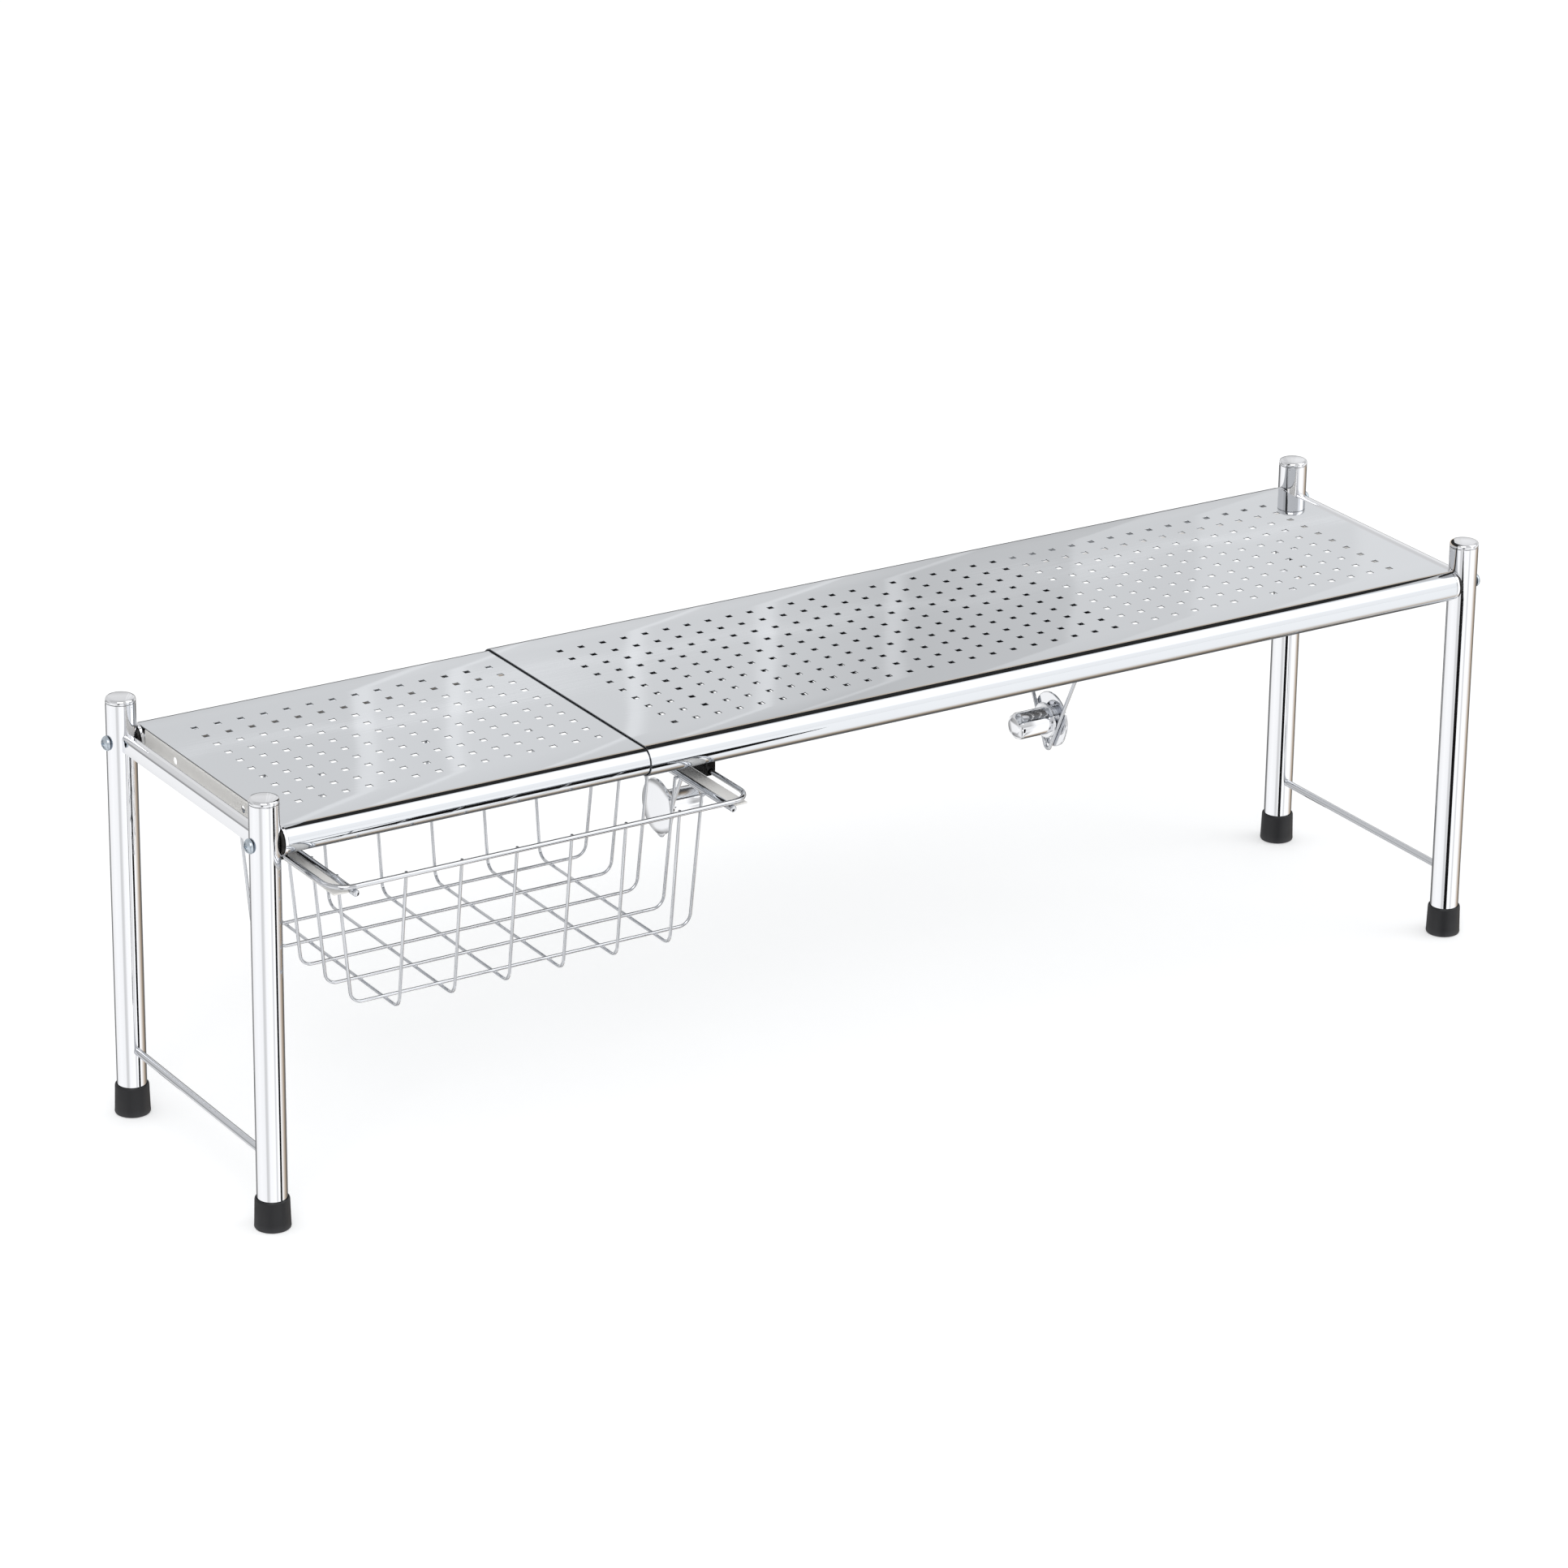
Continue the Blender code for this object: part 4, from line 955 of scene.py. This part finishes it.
class SHELF_OT_decks(bpy.types.Operator):
    """Build the two perforated decks with their rolled edges and turned-down ends"""

    bl_idname = "shelf.decks"
    bl_label = "Decks"

    def execute(self, context):
        sizes = context.scene.shelf_sizes
        add_deck(sizes, "inner", "left", sizes.inner_pitch_x, sizes.inner_pitch_y)
        add_deck(sizes, "outer", "right", sizes.outer_pitch, sizes.outer_pitch)
        return {"FINISHED"}


# The basket

LONG_WIRES = range(1, 7)
CROSS_WIRES = range(1, 6)


def add_rim(radius):
    low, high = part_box("basket_rim")
    z = (low.z + high.z) / 2
    x0, x1, y0, y1 = low.x + radius, high.x - radius, low.y + radius, high.y - radius
    shape = wire([(x0, y0, z), (x1, y0, z), (x1, y1, z), (x0, y1, z)], radius, RIM_BEND,
                 sides=STOUT_WIRE_SIDES, closed=True)
    add_piece("basket_rim_wire", shape, "basket", "chrome_wire", ["basket_rim"])


def add_wires(radius):
    """Wires that go down, along and up again, leaning in towards their feet."""
    for kind, name, indices, axis, lean in (("long", "front_to_back", LONG_WIRES, 1, LONG_WIRE_LEAN),
                                            ("cross", "side_to_side", CROSS_WIRES, 0, CROSS_WIRE_LEAN)):
        for index in indices:
            node = f"basket_{kind}_wire_{index}"
            low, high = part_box(node)
            start, end = low[axis] + radius, high[axis] - radius
            bottom, top = low.z + radius, high.z - WIRE_TOP_GAP
            path = [centre(node) for _ in range(4)]
            for point, along in zip(path, (start, start + lean, end - lean, end)):
                point[axis] = along
                point.z = top if along in (start, end) else bottom
            shape = wire(path, radius, BASKET_BEND)
            add_piece(f"basket_{name}_wire_{index}", shape, "basket", "chrome_wire", [node])


def add_welds():
    """The small nuggets of weld where the wires cross and where they meet the rim and the rods."""
    places = []
    for index in LONG_WIRES:
        low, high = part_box(f"basket_long_wire_{index}")
        x = (low.x + high.x) / 2
        places += [(x, centre(f"basket_cross_wire_{cross}").y, low.z + 0.0022) for cross in CROSS_WIRES]
        places += [(x, low.y + 0.0001, high.z - 0.0016), (x, high.y - 0.0001, high.z - 0.0016)]
    for index in CROSS_WIRES:
        low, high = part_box(f"basket_cross_wire_{index}")
        y = (low.y + high.y) / 2
        places += [(low.x + 0.0001, y, high.z - 0.0012), (high.x - 0.0001, y, high.z - 0.0012)]
    shape = bmesh.new()
    for place in places:
        made = bmesh.ops.create_icosphere(shape, subdivisions=2, radius=WELD_RADIUS)
        bmesh.ops.transform(shape, matrix=Matrix.Translation(place), verts=made["verts"])
    add_piece("basket_welds", shape, "basket", "chrome_wire")


class SHELF_OT_basket(bpy.types.Operator):
    """Build the wire basket with its rim, side rods and corner strips"""

    bl_idname = "shelf.basket"
    bl_label = "Basket"

    def execute(self, context):
        sizes = context.scene.shelf_sizes
        add_rim(sizes.rim / 2)
        add_wires(sizes.basket_wire / 2)
        for side in SIDES:
            node = f"basket_{side}_side_rod"
            low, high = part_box(node)
            x, z = (low.x + high.x) / 2, (low.z + high.z) / 2
            shape = wire([(x, low.y, z), (x, high.y, z)], sizes.side_rod / 2, 0, sides=STOUT_WIRE_SIDES)
            add_piece(f"basket_{side}_rod", shape, "basket", "chrome_wire", [node])
        for side in SIDES:
            node = f"basket_{side}_corner_strip"
            # The strips take the pale satin copy of the chrome: painted light
            add_piece(f"basket_{side}_strip", bar(*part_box(node)), "basket", "lit_satin_strip", [node], bevel=0.0003)
        add_welds()
        return {"FINISHED"}


class SHELF_OT_guides(bpy.types.Operator):
    """Build the plastic guides that the basket slides in"""

    bl_idname = "shelf.guides"
    bl_label = "Basket guides"

    def execute(self, context):
        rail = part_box("outer_front_rail")
        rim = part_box("basket_rim")
        rim_radius = context.scene.shelf_sizes.rim / 2
        foot_top = rail[0].z - GUIDE_FOOT_GAP
        for side, way in SIDES.items():
            node = f"{side}_basket_guide"
            low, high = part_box(node)
            # The photograph shows the front of the right guide only; the left one stands further back
            if way < 0:
                low.y += LEFT_GUIDE_SETBACK
            stem_front = max(rail[0].y + GUIDE_STEM_BEHIND_RAIL, low.y)
            outline = [(low.y, low.z), (high.y, low.z), (high.y, high.z), (stem_front, high.z)]
            if stem_front > low.y:
                outline += [(stem_front, foot_top), (low.y, foot_top)]
            shape = plate(outline, (low.x + high.x) / 2, high.x - low.x)
            bore_x = rim[1].x - rim_radius if way > 0 else rim[0].x + rim_radius
            bore = cylinder(GUIDE_BORE_RADIUS, 0.2, (bore_x, (low.y + high.y) / 2, centre("basket_rim").z), ALONG_Y)
            add_piece(f"{side}_slide_guide", carved(shape, bore), "shelf", "plastic", [node], bevel=0.0006)
        return {"FINISHED"}


# The roll holder


def add_bracket(side):
    """A sheet folded down into two ears, each bored for a tail of the hanger."""
    node = f"{side}_holder_bracket"
    low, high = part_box(node)
    x = (low.x + high.x) / 2
    front, back, under = low.y + BRACKET_SHEET, high.y - BRACKET_SHEET, high.z - BRACKET_SHEET
    outline = [(low.y, high.z), (low.y, low.z), (front, low.z), (front, under), (back, under), (back, low.z),
               (high.y, low.z), (high.y, high.z)]
    wire_radius = size(f"{side}_hanger_wire").x / 2
    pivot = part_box(f"{side}_hanger_wire")[1].z - wire_radius
    bore = cylinder(wire_radius + BRACKET_CLEARANCE, 0.2, (x, (low.y + high.y) / 2, pivot), ALONG_Y)
    shape = carved(plate(outline, x, high.x - low.x), bore)
    add_piece(f"{side}_bracket", shape, "shelf", "chrome", [node], bevel=0.0003)


def add_hanger(side, radius):
    node = f"{side}_hanger_wire"
    place = centre(node)
    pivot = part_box(node)[1].z - radius
    half, end = HANGER_HALF_WIDTH, HANGER_HALF_WIDTH + HANGER_TAIL
    path = [(-end, pivot), (-half, pivot), (0, pivot - HANGER_DROP), (half, pivot), (end, pivot)]
    shape = wire([(place.x, place.y + across, z) for across, z in path], radius, HANGER_BEND, sides=20)
    add_piece(f"{side}_hanger", shape, f"{side}_hanger", "chrome_wire", [node])


def add_roll_end(side, way, disc):
    """A disc outside the wire, a groove on it, and a collar, neck and nose inside it."""
    node = f"{side}_roll_end"
    low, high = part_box(node)
    place = centre(node)
    place.x = centre(f"{side}_hanger_wire").x
    face, nose = (high.x - place.x, place.x - low.x) if way > 0 else (place.x - low.x, high.x - place.x)
    half = SPOOL_GROOVE
    profile = [(0, face), (disc * 0.5, face - 0.0001), (disc * 0.8, face - 0.0003), (disc - 0.0006, face - 0.0008),
               (disc - 0.0001, face - 0.0013), (disc, half + 0.0006), (disc - 0.0004, half), (0.00895, half),
               (0.00895, -half), (0.0115, -half), (0.012, -half - 0.0005), (0.012, -half - 0.0015),
               (0.0115, -half - 0.002), (0.009, -half - 0.0022), (0.009, 0.004 - nose), (0.0083, 0.002 - nose),
               (0.0066, 0.0004 - nose), (0.0055, -nose), (0, -nose)]
    shape = placed(lathe(profile), place, OUTWARD[way])
    add_piece(f"{side}_roll_spool", shape, f"{side}_bobbin", "chrome", [node], bevel=0.0002)


class SHELF_OT_holder(bpy.types.Operator):
    """Build the roll holder's brackets, hanger wires and turned ends"""

    bl_idname = "shelf.holder"
    bl_label = "Roll holder"

    def execute(self, context):
        sizes = context.scene.shelf_sizes
        for side, way in SIDES.items():
            add_bracket(side)
            add_hanger(side, sizes.hanger / 2)
            add_roll_end(side, way, sizes.disc / 2)
        return {"FINISHED"}


# Panel, registration and run

OPERATORS = (SHELF_OT_materials, SHELF_OT_stage, SHELF_OT_legs, SHELF_OT_bars, SHELF_OT_plugs, SHELF_OT_decks,
             SHELF_OT_basket, SHELF_OT_guides, SHELF_OT_holder)


class SHELF_PT_panel(bpy.types.Panel):
    """Lists the sizes, the colours and the steps that build the shelf"""

    bl_idname = "SHELF_PT_panel"
    bl_label = "Over Sink Shelf"
    bl_space_type = "VIEW_3D"
    bl_region_type = "UI"
    bl_category = "Shelf"

    def draw(self, context):
        for group in (context.scene.shelf_sizes, context.scene.shelf_colours):
            column = self.layout.column()
            for name in group.__annotations__:
                column.prop(group, name)
        for operator in OPERATORS:
            self.layout.operator(operator.bl_idname)


CLASSES = (SHELF_PG_sizes, SHELF_PG_colours, *OPERATORS, SHELF_PT_panel)


def register():
    for item in CLASSES:
        bpy.utils.register_class(item)
    bpy.types.Scene.shelf_sizes = PointerProperty(type=SHELF_PG_sizes)
    bpy.types.Scene.shelf_colours = PointerProperty(type=SHELF_PG_colours)


def unregister():
    del bpy.types.Scene.shelf_colours
    del bpy.types.Scene.shelf_sizes
    for item in reversed(CLASSES):
        bpy.utils.unregister_class(item)


def main():
    register()
    for operator in OPERATORS:
        group, name = operator.bl_idname.split(".")
        getattr(getattr(bpy.ops, group), name)()


if __name__ == "__main__":
    main()
